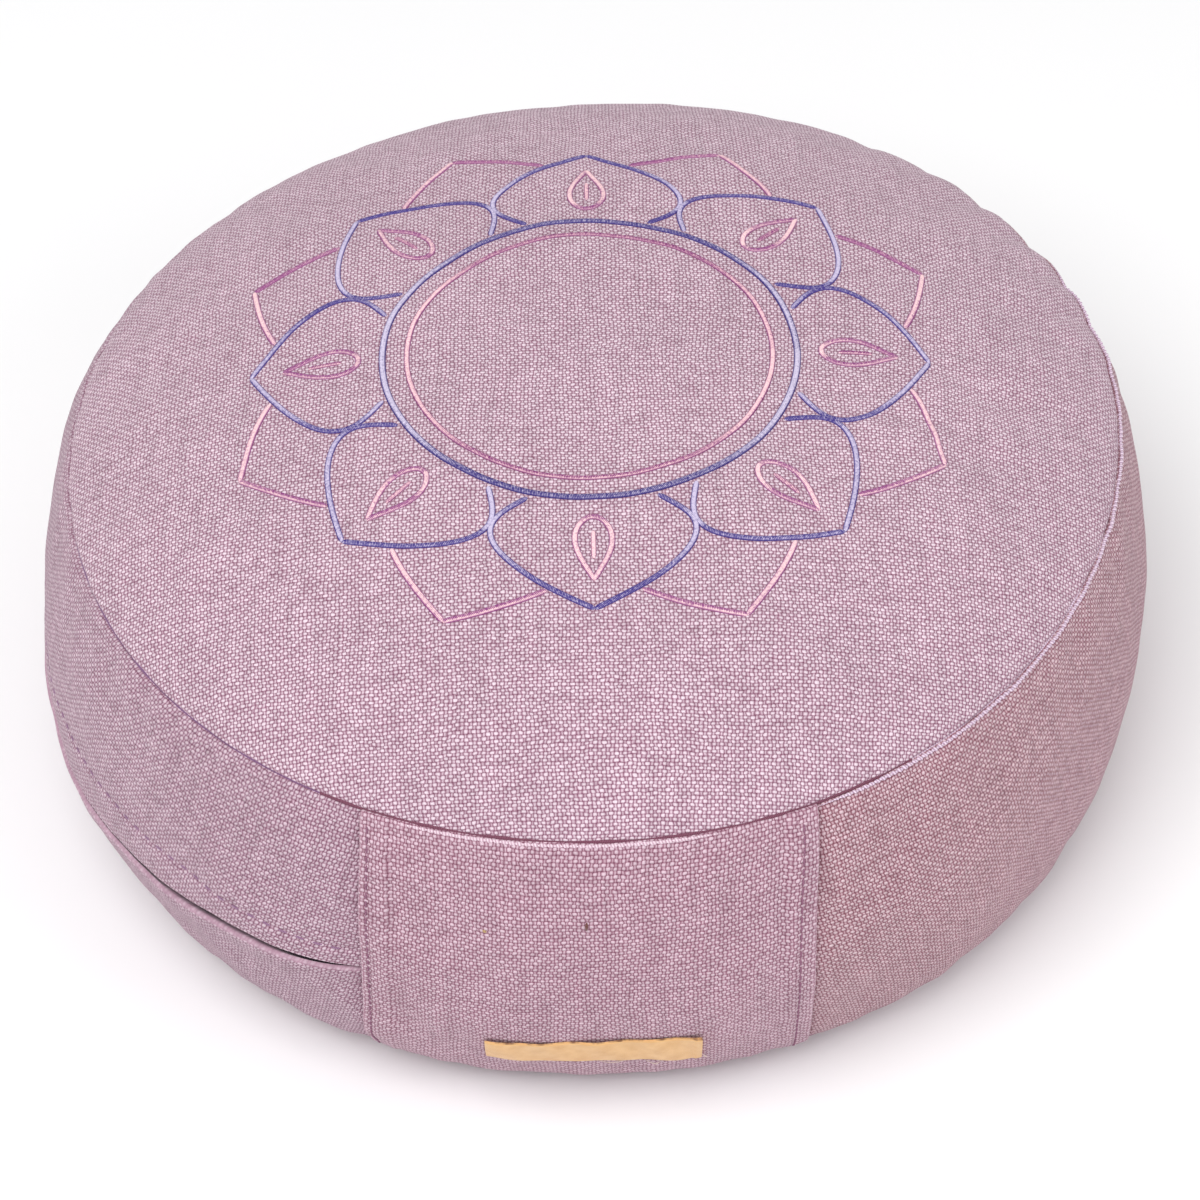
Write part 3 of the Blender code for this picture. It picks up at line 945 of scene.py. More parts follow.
# %% Front panel
FOLDED_END = 8.0 * MM
FOLD_SLOPE = 2.0 * MM
FOLD_RISE = 1.5 * MM
FOLD_ROLL = 1.0 * MM
FOLD_FADES = 16.0 * MM
FOLD_SMOOTH = 0.5
LEFT_STITCH = 2.6 * MM
RIGHT_STITCH = 5.0 * MM
END_STITCH = 2.8 * MM


def from_seam(theta, degrees):
    """Distance along the cloth from an upright seam, on either side of it."""
    return np.abs(turned_from(theta, degrees)) * math.pi / 180 * BAND_RADIUS


GROOVE = 0.35 * MM
GROOVE_WIDTH = 0.7 * MM


def stitch_groove(distance, along, pitch):
    """A groove under a row of stitches, deeper in the middle of each stitch."""
    depth = 0.75 + 0.25 * np.cos(2 * np.pi * along / pitch)
    return ridge(distance, GROOVE_WIDTH, -GROOVE) * depth


def fold_rise(share):
    """How much a folded end is raised: it flattens out towards the base seam."""
    return FOLD_RISE * (1 - np.exp(-(1 - share) * BAND_HEIGHT / FOLD_FADES))


def front_panel_piece():
    """Both ends raised by the cloth folded under them, with a rounded edge and a groove."""
    theta = columns_between(LEFT_SEAM, RIGHT_SEAM, 1.9 * MM, [FOLDED_END])
    share = rows_between(np.full_like(theta, TOP_EDGE), np.full_like(theta, BASE_EDGE), 1.9 * MM)
    left, right = from_seam(theta, LEFT_SEAM), from_seam(theta, RIGHT_SEAM)
    rise, fold = 0, 0
    for end, stitched in ((left, LEFT_STITCH), (right, RIGHT_STITCH)):
        fold = fold + FOLD_SMOOTH * np.exp(-((end / FOLD_ROLL) ** 2))
        slope = np.clip((FOLDED_END + FOLD_SLOPE - end) / FOLD_SLOPE, 0, 1)
        rise = rise + fold_rise(share) * slope**2 * (3 - 2 * slope) + rounded(end, FOLD_ROLL)
        rise = rise + stitch_groove(end - stitched, share * BAND_HEIGHT, END_STITCH)
    return lay_panel(
        "front_cover", theta, share, rise, front_cloth, "front_panel", fold=fold)


front_cover = front_panel_piece()

# %% Plain panel
TUCKS = ((0.9 * MM, 0.8 * MM), (0.8 * MM, 5.5 * MM))  # depth and reach


def tucked(distance):
    """The end of a panel that goes in under a seam: a sharp dip beside it and a broad one."""
    return sum(-depth * np.exp(-distance / reach) for depth, reach in TUCKS)


def plain_panel_piece():
    """The long plain panel, tucked under the front panel's fold and sewn at the back."""
    theta = columns_between(RIGHT_SEAM, BACK_SEAM, 2.4 * MM)
    share = rows_between(np.full_like(theta, TOP_EDGE), np.full_like(theta, BASE_EDGE), 2.2 * MM)
    rise = tucked(from_seam(theta, RIGHT_SEAM)) + rounded(from_seam(theta, BACK_SEAM), SEAM_ROLL)
    return lay_panel("side_cover", theta, share, rise, plain_cloth, "plain_panel")


side_cover = plain_panel_piece()

# %% Placket flap and strip
SLIT_WIDTH = 0.6 * MM
SLIT_GAPE = 0.6 * MM
SLIT_GAPE_AT = -129.0
SLIT_GAPE_DEG = 10.0
FLAP_LIFT = 0.2 * MM
STRIP_LIFT = 2.0 * MM
STRIP_REACH = 9.0 * MM
STRIP_FADE = 6.0 * MM
STRIP_ROLL = 1.3 * MM
LIP = 1.1 * MM
LIP_SMOOTH = 0.8
POCKET = 3.0 * MM
HEM_HEIGHT = 66.8 * MM
HEM_SHARE = (SEAM_HEIGHT - HEM_HEIGHT) / BAND_HEIGHT
HEM_RISE = 0.35 * MM
HEM_EDGE = 0.6 * MM
HEM_STITCH = 5.2 * MM
HEM_DIMPLE = 0.55 * MM
HEM_DIMPLE_WIDTH = 1.3 * MM
GAPE_REACH = 3.0 * MM
FLAP_ROLL = 0.9 * MM
POCKET_REACH = 2.5 * MM
FLAP_POCKET = 0.4


def gape(theta):
    """How far the slit stands open: most where the flap bulges off the strip."""
    return np.exp(-((turned_from(theta, SLIT_GAPE_AT) / SLIT_GAPE_DEG) ** 2))


def slit_half(theta):
    """Half the width of the slit, as a share of the band."""
    return 0.5 * (SLIT_WIDTH + SLIT_GAPE * gape(theta)) / BAND_HEIGHT


def left_ends(theta):
    """The left panel's ends: tucked under the front panel, and rolled into the back seam."""
    return tucked(from_seam(theta, LEFT_SEAM)) + rounded(from_seam(theta, BACK_SEAM), SEAM_ROLL)


def flap_piece():
    """The flap: its hem a little proud, dimpled where each stitch pulls it down, its folded
    edge rounded."""
    theta = columns_between(BACK_SEAM - 360, LEFT_SEAM, 1.5 * MM)
    bottom = slit_share(theta) - slit_half(theta)
    top, hem = np.full_like(theta, TOP_EDGE), np.full_like(theta, HEM_SHARE)
    rows = rows_between(top, hem, 1.8 * MM), rows_between(hem, bottom, 1.8 * MM)[1:]
    share = np.concatenate(rows)
    above = (bottom - share) * BAND_HEIGHT
    off_stitch = (HEM_SHARE - share) * BAND_HEIGHT
    pull = 0.5 + 0.5 * np.cos(2 * np.pi * theta * BAND_RADIUS / HEM_STITCH)
    bulge = FLAP_LIFT * np.exp(-above / GAPE_REACH) * gape(theta)
    rise = HEM_RISE / (1 + np.exp(off_stitch / HEM_EDGE)) + bulge
    dimples = ridge(off_stitch, HEM_DIMPLE_WIDTH, -HEM_DIMPLE) * (0.45 + 0.55 * pull)
    rise = rise + dimples + rounded(above, FLAP_ROLL) + left_ends(theta)
    pocket = -FLAP_POCKET * POCKET / BAND_HEIGHT * np.exp(-above / POCKET_REACH)
    return lay_panel(
        "flap_cover", theta, share, rise, left_cloth, "placket_flap", pocket)


def strip_piece():
    """The strip below the slit: its folded upper edge is rounded, and stands off the flap
    all along, so that a dark pocket opens behind it."""
    theta = columns_between(BACK_SEAM - 360, LEFT_SEAM, 1.9 * MM)
    top = slit_share(theta) + slit_half(theta)
    share = rows_between(top, np.full_like(theta, BASE_EDGE), 1.9 * MM)
    below = (share - top) * BAND_HEIGHT
    lift = STRIP_LIFT * np.exp(-((below / STRIP_REACH) ** 1.5)) * (0.75 + 0.25 * gape(theta))
    lift = lift * (1 - np.exp(-from_seam(theta, LEFT_SEAM) / STRIP_FADE))
    rise = lift + rounded(below, STRIP_ROLL) + left_ends(theta)
    pocket = POCKET / BAND_HEIGHT * np.exp(-below / POCKET_REACH)
    fold = LIP_SMOOTH * np.exp(-((below / LIP) ** 4))
    return lay_panel(
        "strip_cover", theta, share, rise, left_cloth, "placket_strip", pocket, fold)


flap_cover = flap_piece()
strip_cover = strip_piece()

# %% [markdown]
# ## Tape behind the slit
# Whatever closes the placket is hidden; only a grey-mauve tape shows where the slit gapes.
# It is a strip 10 mm wide with a fine rib across it, between the cloth and the filling.

# %% Placket tape
TAPE_WIDTH = 10.0 * MM
TAPE = 1.0 * MM
TAPE_DEPTH = CLOTH + 0.8 * MM
TAPE_RIB = 0.8 * MM


def ribbed_tape(name, light, dark, rib):
    """Woven tape: fine ribs across its length, with threads that differ a little."""
    material, shader, make, m, paint, emboss = new_material(name, 0.7, sheen=0.2)
    uv, place = cloth_uv(make)
    wave = m("SINE", m("MULTIPLY", place[0], 2 * math.pi / rib))
    weave = m("MULTIPLY", m("SINE", m("MULTIPLY", place[1], 2 * math.pi / (1.4 * rib))), 0.5)
    relief = m("ADD", m("ADD", wave, weave), noise_of(make, uv, 1500.0))
    share = make("MapRange", [relief, -1.2, 2.2, 0.0, 1.0])
    paint(colour_mix(make, share, dark, light))
    emboss(relief, 0.6, 0.12 * MM)
    return material


def tape_piece():
    """A flat strip behind the slit, on the form's own curve."""
    theta = columns_between(BACK_SEAM - 360, LEFT_SEAM, 2.5 * MM)[2:-2]
    half = 0.5 * TAPE_WIDTH / BAND_HEIGHT
    share = slit_share(theta) + half * np.linspace(-1, 1, 9)[:, None]
    outer = point(theta, "band", share, -TAPE_DEPTH)
    inner = point(theta, "band", share, -TAPE_DEPTH - TAPE)
    uv = np.stack(np.broadcast_arrays(theta * BAND_RADIUS, -share * BAND_HEIGHT), -1)
    piece = sheet_piece("placket_tape_web", outer, inner, uv)
    web = ribbed_tape("placket tape", srgb(128, 104, 122), srgb(84, 62, 80), TAPE_RIB)
    length = (theta[-1] - theta[0]) * BAND_RADIUS
    return finish_sheet(piece, web, "placket_tape", (length, TAPE_WIDTH))


placket_tape_web = tape_piece()

# %% [markdown]
# ## Ribbon label
# A bare tan ribbon, 63 mm long and about 14 mm wide, is sewn on low on the front panel. Its
# upper edge is painted dark brown, its right end is turned under, and it waves
# a little because it lies on soft cloth.

# %% Label
LABEL_WIDTH = 63.0 * MM
LABEL_BOTTOM = 27.0 * MM
LABEL_TOP = 41.0 * MM
LABEL_AT = -91.0
LABEL = 0.7 * MM
LABEL_GAP = 0.55 * MM
LABEL_ROLL = 0.5 * MM
LABEL_HEM = 2.4 * MM
LABEL_HEM_RISE = 0.5 * MM
LABEL_HEM_EDGE = 0.15 * MM
RIBBON_THREADS = (0.42 * MM, 0.50 * MM)


def ribbon():
    """Tan ribbon with a fine weave, a ragged dark brown band along the top and a few soft marks."""
    material, shader, make, m, paint, emboss = new_material(
        "tan ribbon", 0.55, sheen=0.25, specular=0.35)
    uv, place = cloth_uv(make)
    warp, weft = [
        m("SINE", m("MULTIPLY", place[way], 2 * math.pi / pitch))
        for way, pitch in enumerate(RIBBON_THREADS)]
    grain = m("MULTIPLY", warp, weft)
    mottle = noise_of(make, uv, 220.0, 4.0)
    patches = make("MapRange", [mottle, 0.3, 0.7, 0.0, 1.0])
    body = colour_mix(make, patches, srgb(222, 172, 112), srgb(240, 196, 138))
    threads = make("MapRange", [grain, -1.0, 1.0, 0.0, 0.30])
    body = colour_mix(make, threads, body, srgb(188, 134, 80))
    # A ragged band along the top edge, painted dark brown.
    ragged = m("ADD", place[1], m("MULTIPLY", m("SUBTRACT", mottle, 0.62), 1.6 * MM))
    dark_top_band = make("MapRange", [ragged, -0.30 * MM, 0.0, 0.0, 0.9])
    paint(colour_mix(make, dark_top_band, body, srgb(104, 58, 36)))
    emboss(grain, 0.5, 0.08 * MM)
    return material


def label_piece():
    """A thin strip, its edges waving by sines, thicker where its right end is turned under."""
    u, v = np.meshgrid(np.linspace(0, 1, 131), np.linspace(0, 1, 33))
    half = 0.5 * LABEL_WIDTH / (BASE_RADIUS + 0.8 * BELLY)
    theta = math.radians(LABEL_AT) + half * (2 * u - 1)
    arch = 1.7 * MM * np.sin(np.pi * u**1.3)
    sway = 1.0 * MM * np.sin(2 * np.pi * (u - 0.3))
    left_lift, right_drop = 0.8 * MM * (1 - u) ** 2, 2.2 * MM * u**3
    top = LABEL_TOP - 0.8 * MM + arch
    bottom = LABEL_BOTTOM + 1.1 * MM + sway + left_lift - right_drop
    share = (SEAM_HEIGHT - (top + (bottom - top) * v)) / BAND_HEIGHT
    from_right = (1 - u) * LABEL_WIDTH
    hem = LABEL_HEM_RISE / (1 + np.exp((from_right - LABEL_HEM) / LABEL_HEM_EDGE))
    height = LABEL_TOP - LABEL_BOTTOM
    edge = np.minimum(np.minimum(v, 1 - v) * height, np.minimum(u, 1 - u) * LABEL_WIDTH)
    broad = 0.25 * MM * np.sin(2 * np.pi * (2.3 * u + 0.4 * v))
    narrow = 0.2 * MM * np.sin(2 * np.pi * (4.1 * u - 0.6 * v) + 1)
    base = LABEL_GAP + (broad + narrow) + band_rise(theta, share)
    outer = point(theta, "band", share, base + LABEL + hem + 0.5 * rounded(edge, LABEL_ROLL))
    inner = point(theta, "band", share, base)
    uv = np.stack([u * LABEL_WIDTH, -v * height], -1)
    piece = sheet_piece("ribbon_label", outer, inner, uv)
    return finish_sheet(piece, ribbon(), "label", (LABEL_WIDTH, height))


ribbon_label = label_piece()

# %% [markdown]
# ## Threads
# Stitches and embroidery are round or flat strands of thread. A strand is a closed profile
# carried along a path on the cushion, turned so that it always faces out of the cloth.

# %% A strand along a path
def surface_frame(theta, part, share, rise):
    """Points of the surface, and the direction out of it, from second points 1 mm higher."""
    low, high = point(theta, part, share, rise), point(theta, part, share, rise + MM)
    out = high - low
    return low, out / np.linalg.norm(out, axis=-1, keepdims=True)


def strand(path, out, across, up, closed=False):
    """Arrays of a tube: each row of the profile's sideways and outward offsets is set at a
    point of the path, square to the way ahead. Open ends are closed with a fan."""
    ahead = np.roll(path, -1, 0) - np.roll(path, 1, 0) if closed else np.gradient(path, axis=0)
    side = np.cross(out, ahead)
    side /= np.linalg.norm(side, axis=-1, keepdims=True)
    rows, columns = across.shape
    points = path[:, None] + side[:, None] * across[..., None] + out[:, None] * up[..., None]
    quads = grid_quads(rows, columns, round_columns=True, round_rows=closed)
    along = np.concatenate([[0], np.cumsum(np.linalg.norm(np.diff(path, axis=0), axis=-1))])
    uv = np.stack([across, np.broadcast_to(along[:, None], across.shape)], -1).reshape(-1, 2)
    points, triangles = points.reshape(-1, 3), np.zeros((0, 3), int)
    if not closed:
        ring, last = np.append(np.arange(columns), 0), (rows - 1) * columns
        middles = [points[:columns].mean(0), points[last:].mean(0)]
        triangles = np.concatenate([
            np.stack([ring[1:], ring[:-1], np.full(columns, len(points))], -1),
            np.stack([last + ring[:-1], last + ring[1:], np.full(columns, len(points) + 1)], -1),
        ])
        points = np.concatenate([points, middles])
        uv = np.concatenate([uv, uv[[0, last]]])
    if volume_of(points, quads) + volume_of(points, triangles) < 0:
        quads, triangles = quads[:, ::-1], triangles[:, ::-1]
    return points, quads, triangles, uv


def thread_piece(name, strands, material, slot="top_cloth"):
    """One piece from several strands."""
    starts = np.cumsum([0] + [len(points) for points, *_ in strands])
    points, quads, triangles, uv = zip(*strands)
    piece = new_piece(
        name, np.concatenate(points),
        np.concatenate([q + start for q, start in zip(quads, starts)]),
        np.concatenate([t + start for t, start in zip(triangles, starts)]),
        np.concatenate(uv), sharp_deg=80.0,
    )
    piece.data.materials.append(material)
    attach(piece, "root")
    return piece


# %% Thread materials
RIB = 0.50 * MM
RIB_SLANT = 0.35
THREAD_RELIEF = (0.5, 0.10 * MM)


def slanted_lines(m, place, pitch):
    """A sine across lines that slant over the thread."""
    slanted = m("ADD", place[1], m("MULTIPLY", place[0], RIB_SLANT))
    return m("SINE", m("MULTIPLY", slanted, 2 * math.pi / pitch))


def thread_finish(name, light, dark, roughness, sheen=0.3, twist=RIB):
    """Thread: fine slanted lines of light and dark, and soft fibres."""
    material, shader, make, m, paint, emboss = new_material(
        name, roughness, sheen=sheen, specular=0.5)
    uv, place = cloth_uv(make)
    lines = m("MULTIPLY", slanted_lines(m, place, twist), 0.5)
    relief = m("ADD", lines, noise_of(make, uv, 2200.0))
    share = make("MapRange", [relief, -0.2, 1.1, 0.0, 1.0])
    paint(colour_mix(make, share, srgb(*dark), srgb(*light)))
    emboss(relief, *THREAD_RELIEF)
    return material


# %% Satin
SATIN_GRAIN = 2.4
# Strength of the painted sheen, its ranges, and the painted shade at the line's edges.
SATIN_GLOSS = 0.85
SIDE_ON = (0.50, 0.95)
FACES_FRONT = (0.20, 0.46)
EDGE_BAND = (0.24, 0.44)
EDGE_SHADE = 0.9


def satin_with_painted_sheen(name, width, front, painted_sheen_colour, painted_shade_colour):
    """Satin stitch. Its threads lie across the line, which the UV map's tangent gives. Their sheen
    is painted into the colour: a painted highlight where they lie from left to right, and on the
    side of the roll that faces the front, and painted shade where they lie front to back, which
    |x| and y z of the tangent tell. Both edges of the line, half its width from its middle, are
    in painted shade."""
    material, shader, make, m, paint, emboss = new_material(name, 0.6, specular=0.2)
    tangent = make("Tangent", direction_type="UV_MAP", uv_map="cloth")
    way = make("SeparateXYZ", [tangent]).node.outputs
    # Painted sheen where the threads lie left to right.
    side_on = make(
        "MapRange", [m("ABSOLUTE", way[0]), *SIDE_ON, 0.0, 1.0], interpolation_type="SMOOTHSTEP")
    # Painted highlight on the side of the roll that faces the front.
    faces_front = make("MapRange", [m("MULTIPLY", way[1], way[2]), *FACES_FRONT, 0.0, front])
    uv, place = cloth_uv(make)
    lines = m("MULTIPLY", slanted_lines(m, place, RIB), 0.15)
    relief = m("ADD", lines, noise_of(make, uv, 1300.0, 3.0))
    grain = m("MULTIPLY", m("SUBTRACT", relief, 0.47), SATIN_GRAIN)
    painted_sheen = m("ADD", m("MULTIPLY", m("ADD", side_on, faces_front), SATIN_GLOSS), grain)
    # Painted shade along both edges of the line.
    off_middle = m("ABSOLUTE", place[0])
    inner, outer = [share * width for share in EDGE_BAND]
    edge = make("MapRange", [off_middle, inner, outer, 0.0, EDGE_SHADE])
    share = m("MULTIPLY", make("MapRange", [painted_sheen, 0.0, 1.0, 0.0, 1.0]), m("SUBTRACT", 1.0, edge))
    paint(colour_mix(make, share, srgb(*painted_shade_colour), srgb(*painted_sheen_colour)))
    emboss(relief, *THREAD_RELIEF)
    shader.inputs["Anisotropic"].default_value = 0.8
    shader.inputs["Anisotropic Rotation"].default_value = 0.25
    material.node_tree.links.new(tangent, shader.inputs["Tangent"])
    return material


# %% Threads of each colour
OUTER_RING_WIDTH = 2.2 * MM
INNER_RING_WIDTH = 1.8 * MM
FRONT_PETAL_WIDTH = 1.9 * MM
BACK_PETAL_WIDTH = 2.0 * MM
# Each satin thread: width, strength of the painted front highlight, then its painted-sheen colour
# and its painted-shade colour.
violet_thread = satin_with_painted_sheen(
    "blue-violet thread", OUTER_RING_WIDTH, 0.3, (214, 204, 228), (58, 46, 120))
lilac_thread = satin_with_painted_sheen(
    "violet thread", FRONT_PETAL_WIDTH, 0.3, (210, 199, 226), (66, 52, 128))
pink_thread = satin_with_painted_sheen(
    "pink thread", BACK_PETAL_WIDTH, 1.0, (250, 212, 216), (140, 70, 128))
plum_thread = satin_with_painted_sheen(
    "plum thread", INNER_RING_WIDTH, 1.0, (250, 208, 214), (130, 56, 116))
sewing_thread = thread_finish("sewing thread", (156, 106, 132), (112, 68, 92), 0.8, sheen=0.0)
crease_thread = thread_finish("seam thread", (142, 98, 140), (88, 52, 94), 0.7)
# A dark brown thread in the front crease, coloured as the crease's painted shade.
crease_shade_thread = thread_finish(
    "front crease shade thread", (128, 74, 96), (88, 42, 60), 0.8, sheen=0.0)
hem_thread = thread_finish("hem thread", (160, 120, 152), (114, 76, 110), 0.7)

# %% [markdown]
# ## Embroidery
# The crown carries a plain, traditional lotus rosette in satin stitch: two rings, eight
# pointed petals, the tips of eight more behind them, and a seed drop in each petal. Satin
# stitch lays glossy thread side by side across a line, so each line is a raised roll, ribbed
# across. Its glint along some directions and its dark along others are painted into the
# thread's colour, as painted sheen and painted shade. Every
# line is a curve in polar form, walked in even steps.

# %% Satin lines
RIBS_STEP = RIB / 3
EMBROIDERY_SUNK = 0.10 * MM
SATIN_FOOT = 0.4 * MM
round_profile = np.arange(12) * 2 * np.pi / 12


def even_steps(radius, theta, step):
    """The curve through polar points, walked in steps of even length."""
    x, y = radius * np.cos(theta), radius * np.sin(theta)
    along = np.concatenate([[0], np.cumsum(np.hypot(np.diff(x), np.diff(y)))])
    places = np.linspace(0, along[-1], max(4, round(along[-1] / step)))
    x, y = np.interp(places, along, x), np.interp(places, along, y)
    return np.hypot(x, y), np.arctan2(y, x), places


def satin_line(radius, theta, width, height, closed=False):
    """A raised roll with slanted ribs: an oval profile whose upper half is scaled by a cosine
    along the line, and which thins out at open ends."""
    radius, theta, along = even_steps(radius, theta, RIBS_STEP)
    if closed:
        radius, theta, along = radius[:-1], theta[:-1], along[:-1]
    share = radius / (SEAM_RADIUS + waves(theta, SEAM_WAVES))
    path, out = surface_frame(theta, "crown", share, crown_rise(theta, share))
    from_end = np.minimum(along, along[-1] - along)[:, None]
    taper = 1.0 if closed else np.clip(from_end / width + 0.25, 0, 1) ** 0.5
    across = 0.5 * width * np.cos(round_profile) * taper
    rib = 0.82 + 0.18 * np.cos(2 * np.pi * (along[:, None] + RIB_SLANT * across) / RIB)
    lift = np.sin(round_profile)
    crest = height * rib * taper * np.abs(lift) ** 0.8
    up = np.where(lift > 0, crest, SATIN_FOOT * lift) - EMBROIDERY_SUNK
    return strand(path, out, np.broadcast_to(across, up.shape), up, closed)


# %% Rings
OUTER_RING = 63.3 * MM
INNER_RING = 55.8 * MM
full_turn = np.linspace(0, 2 * np.pi, 721)


def ring_line(radius, width, height):
    """A closed satin line of one radius."""
    return satin_line(np.full_like(full_turn, radius), full_turn, width, height, closed=True)


outer_ring = thread_piece(
    "outer_ring", [ring_line(OUTER_RING, OUTER_RING_WIDTH, 0.95 * MM)], violet_thread)
inner_ring = thread_piece(
    "inner_ring", [ring_line(INNER_RING, INNER_RING_WIDTH, 0.75 * MM)], plum_thread)

# %% Petals
PETALS = 8
PETAL_HALF = math.pi / PETALS
PETAL_BASE = 65.5 * MM
FRONT_TIP = 104.0 * MM
BACK_TIP = 114.0 * MM
PETAL_POWER = 2.3
PETAL_FOOT = 0.76
PETAL_SWELL = 0.36
PETAL_STEPS = 200
PETAL_GAP = 1.2 * MM
PETAL_HEIGHT = 0.8 * MM


def petal_side(tip):
    """One side of a petal: its half angle swells from the foot as a sine, and falls with a
    power of the way out, to nothing at the tip. Returns radius and half angle."""
    way = np.linspace(0, 1, PETAL_STEPS)
    half = PETAL_HALF * (1 - way**PETAL_POWER) * (PETAL_FOOT + PETAL_SWELL * np.sin(np.pi * way))
    return PETAL_BASE + (tip - PETAL_BASE) * way, half


def petal_lines(tip, turned, hidden_by=None):
    """Both sides of every petal. Behind other petals, only what lies beyond their edge."""
    radius, half = petal_side(tip)
    if hidden_by is not None:
        edge_radius, edge_half = petal_side(hidden_by)
        widest = np.argmax(edge_half)
        edge = np.interp(
            PETAL_HALF - half, edge_half[widest:][::-1], edge_radius[widest:][::-1])
        shown = radius > edge + PETAL_GAP
        radius, half = radius[shown], half[shown]
    lines = []
    for petal in range(PETALS):
        middle = -math.pi / 2 + 2 * PETAL_HALF * (petal + turned)
        lines += [(radius, middle + side * half) for side in (-1, 1)]
    return lines


def petal_piece(name, lines, width, thread):
    """Every side of a round of petals, as one piece."""
    return thread_piece(name, [satin_line(*line, width, PETAL_HEIGHT) for line in lines], thread)


front_petals = petal_piece(
    "front_petals", petal_lines(FRONT_TIP, 0), FRONT_PETAL_WIDTH, lilac_thread)
back_petals = petal_piece(
    "back_petals", petal_lines(BACK_TIP, 0.5, FRONT_TIP), BACK_PETAL_WIDTH, pink_thread)

# %% Seed drops
DROP_FOOT = 70.5 * MM
DROP_TIP = 94.0 * MM
DROP_SIDE = 7.35 * MM
DROP_POWER = 0.55
DROP_STEPS = 120
SEED = (76.0 * MM, 86.0 * MM)


def drop(middle):
    """A pointed drop round a petal's middle line: half width goes as a power of a sine times
    one of the distance from the tip."""
    turn = np.linspace(-1, 1, DROP_STEPS)
    way = 1 - np.abs(turn)
    swell = np.sin(np.pi * np.clip(1 - way, 0, 1)) ** DROP_POWER
    half = np.sign(turn) * DROP_SIDE * swell * way**DROP_POWER
    forward = DROP_TIP - (DROP_TIP - DROP_FOOT) * way
    return np.hypot(forward, half), middle + np.arctan2(half, forward)


middles = -math.pi / 2 + 2 * PETAL_HALF * np.arange(PETALS)
drop_lines = [satin_line(*drop(middle), 1.9 * MM, 0.75 * MM) for middle in middles]
seed_drops = thread_piece("seed_drops", drop_lines, pink_thread)
seed_lines = [
    satin_line(np.array(SEED), np.full(2, middle), 1.6 * MM, 0.7 * MM) for middle in middles]
seeds = thread_piece("seeds", seed_lines, plum_thread)

# %% [markdown]
# ## Seams and stitches
# Round the right side the band's upper edge is overcast, and shows as a narrow beaded roll
# outside the seam. Along the front the folded edge shows as a row of pale nubs. The panels'
# ends and the placket's hem are topstitched. A stitch is a short capsule, thin at both ends,
# sunk in its groove.

# %% Beaded edges
BEAD_STEPS = 5
BEAD_SIDES = 10
EDGE_ENDS = 12.0 * MM


def beaded_edge(start, end, radius, pitch, edge, rise, waist, slant):
    """A roll along an edge of the band, given as a share in each direction. Its radius swells
    and thins as slanted beads, down to a waist between them."""
    length = math.radians(end - start) * SEAM_RADIUS
    along = np.linspace(0, length, round(length / (pitch / BEAD_STEPS)))
    theta = math.radians(start) + along / SEAM_RADIUS
    share = edge(theta)
    path, out = surface_frame(theta, "band", share, rise + band_rise(theta, share))
    turn = np.arange(BEAD_SIDES) * 2 * np.pi / BEAD_SIDES
    along = along[:, None]
    uneven = 0.88 + 0.12 * np.sin(along / (2.7 * MM)) * np.sin(along / (1.9 * MM) + 1)
    swell = np.abs(np.sin(np.pi * along / pitch + slant * np.cos(turn))) ** 0.7
    ends = np.clip(np.minimum(along, length - along) / EDGE_ENDS, 0.15, 1)
    size = radius * ends * (uneven * (waist + (1 - waist) * swell))
    return strand(path, out, size * np.cos(turn), size * np.sin(turn))


WOUND_TWIST = 0.9 * MM
edge_threads = thread_finish(
    "overcast edge", (234, 216, 230), (156, 118, 150), 0.8, twist=WOUND_TWIST)
nub_threads = thread_finish(
    "folded edge", (234, 214, 224), (178, 138, 158), 0.8, twist=WOUND_TWIST)


def below_seam(distance):
    """An edge at a distance below the top seam."""
    return lambda theta: np.full_like(theta, distance / BAND_HEIGHT)


FLAP_LIP = 0.8 * MM


def flap_edge(theta):
    """The lip of the flap's folded edge, just above the slit."""
    return slit_share(theta) - slit_half(theta) - FLAP_LIP / BAND_HEIGHT


EDGE_END = 27.0
right_beads = beaded_edge(
    -70, EDGE_END, 0.76 * MM, 2.0 * MM, below_seam(0.9 * MM), 0.20 * MM, waist=0.12, slant=0.5)
front_beads = beaded_edge(
    -111, -78, 0.72 * MM, 2.1 * MM, below_seam(1.2 * MM), -0.15 * MM, waist=0.25, slant=0.2)
flap_beads = beaded_edge(
    -172, -115, 0.42 * MM, 1.6 * MM, flap_edge, 0.10 * MM, waist=0.1, slant=0.3)
overcast_edge = thread_piece("overcast_edge", [right_beads], edge_threads, "plain_cloth")
front_nubs = thread_piece("front_nubs", [front_beads], nub_threads, "front_cloth")
flap_nubs = thread_piece("flap_nubs", [flap_beads], nub_threads, "flap_cloth")

# %% Thread in the seam
SEAM_WAVER = 0.08 * MM
SEAM_STEP_DEG = 0.35
SEAM_SIDES = 8


def seam_thread(start, end, radius, depth):
    """A thin thread that lies in the crease, wavering a little from side to side."""
    theta = np.radians(np.arange(start, end, SEAM_STEP_DEG))
    path, out = surface_frame(theta, "band", 0 * theta, -depth + SEAM_WAVER * np.sin(47 * theta))
    turn = np.arange(SEAM_SIDES) * 2 * np.pi / SEAM_SIDES
    size = radius * np.ones((len(theta), 1))
    return strand(path, out, size * np.cos(turn), size * np.sin(turn))


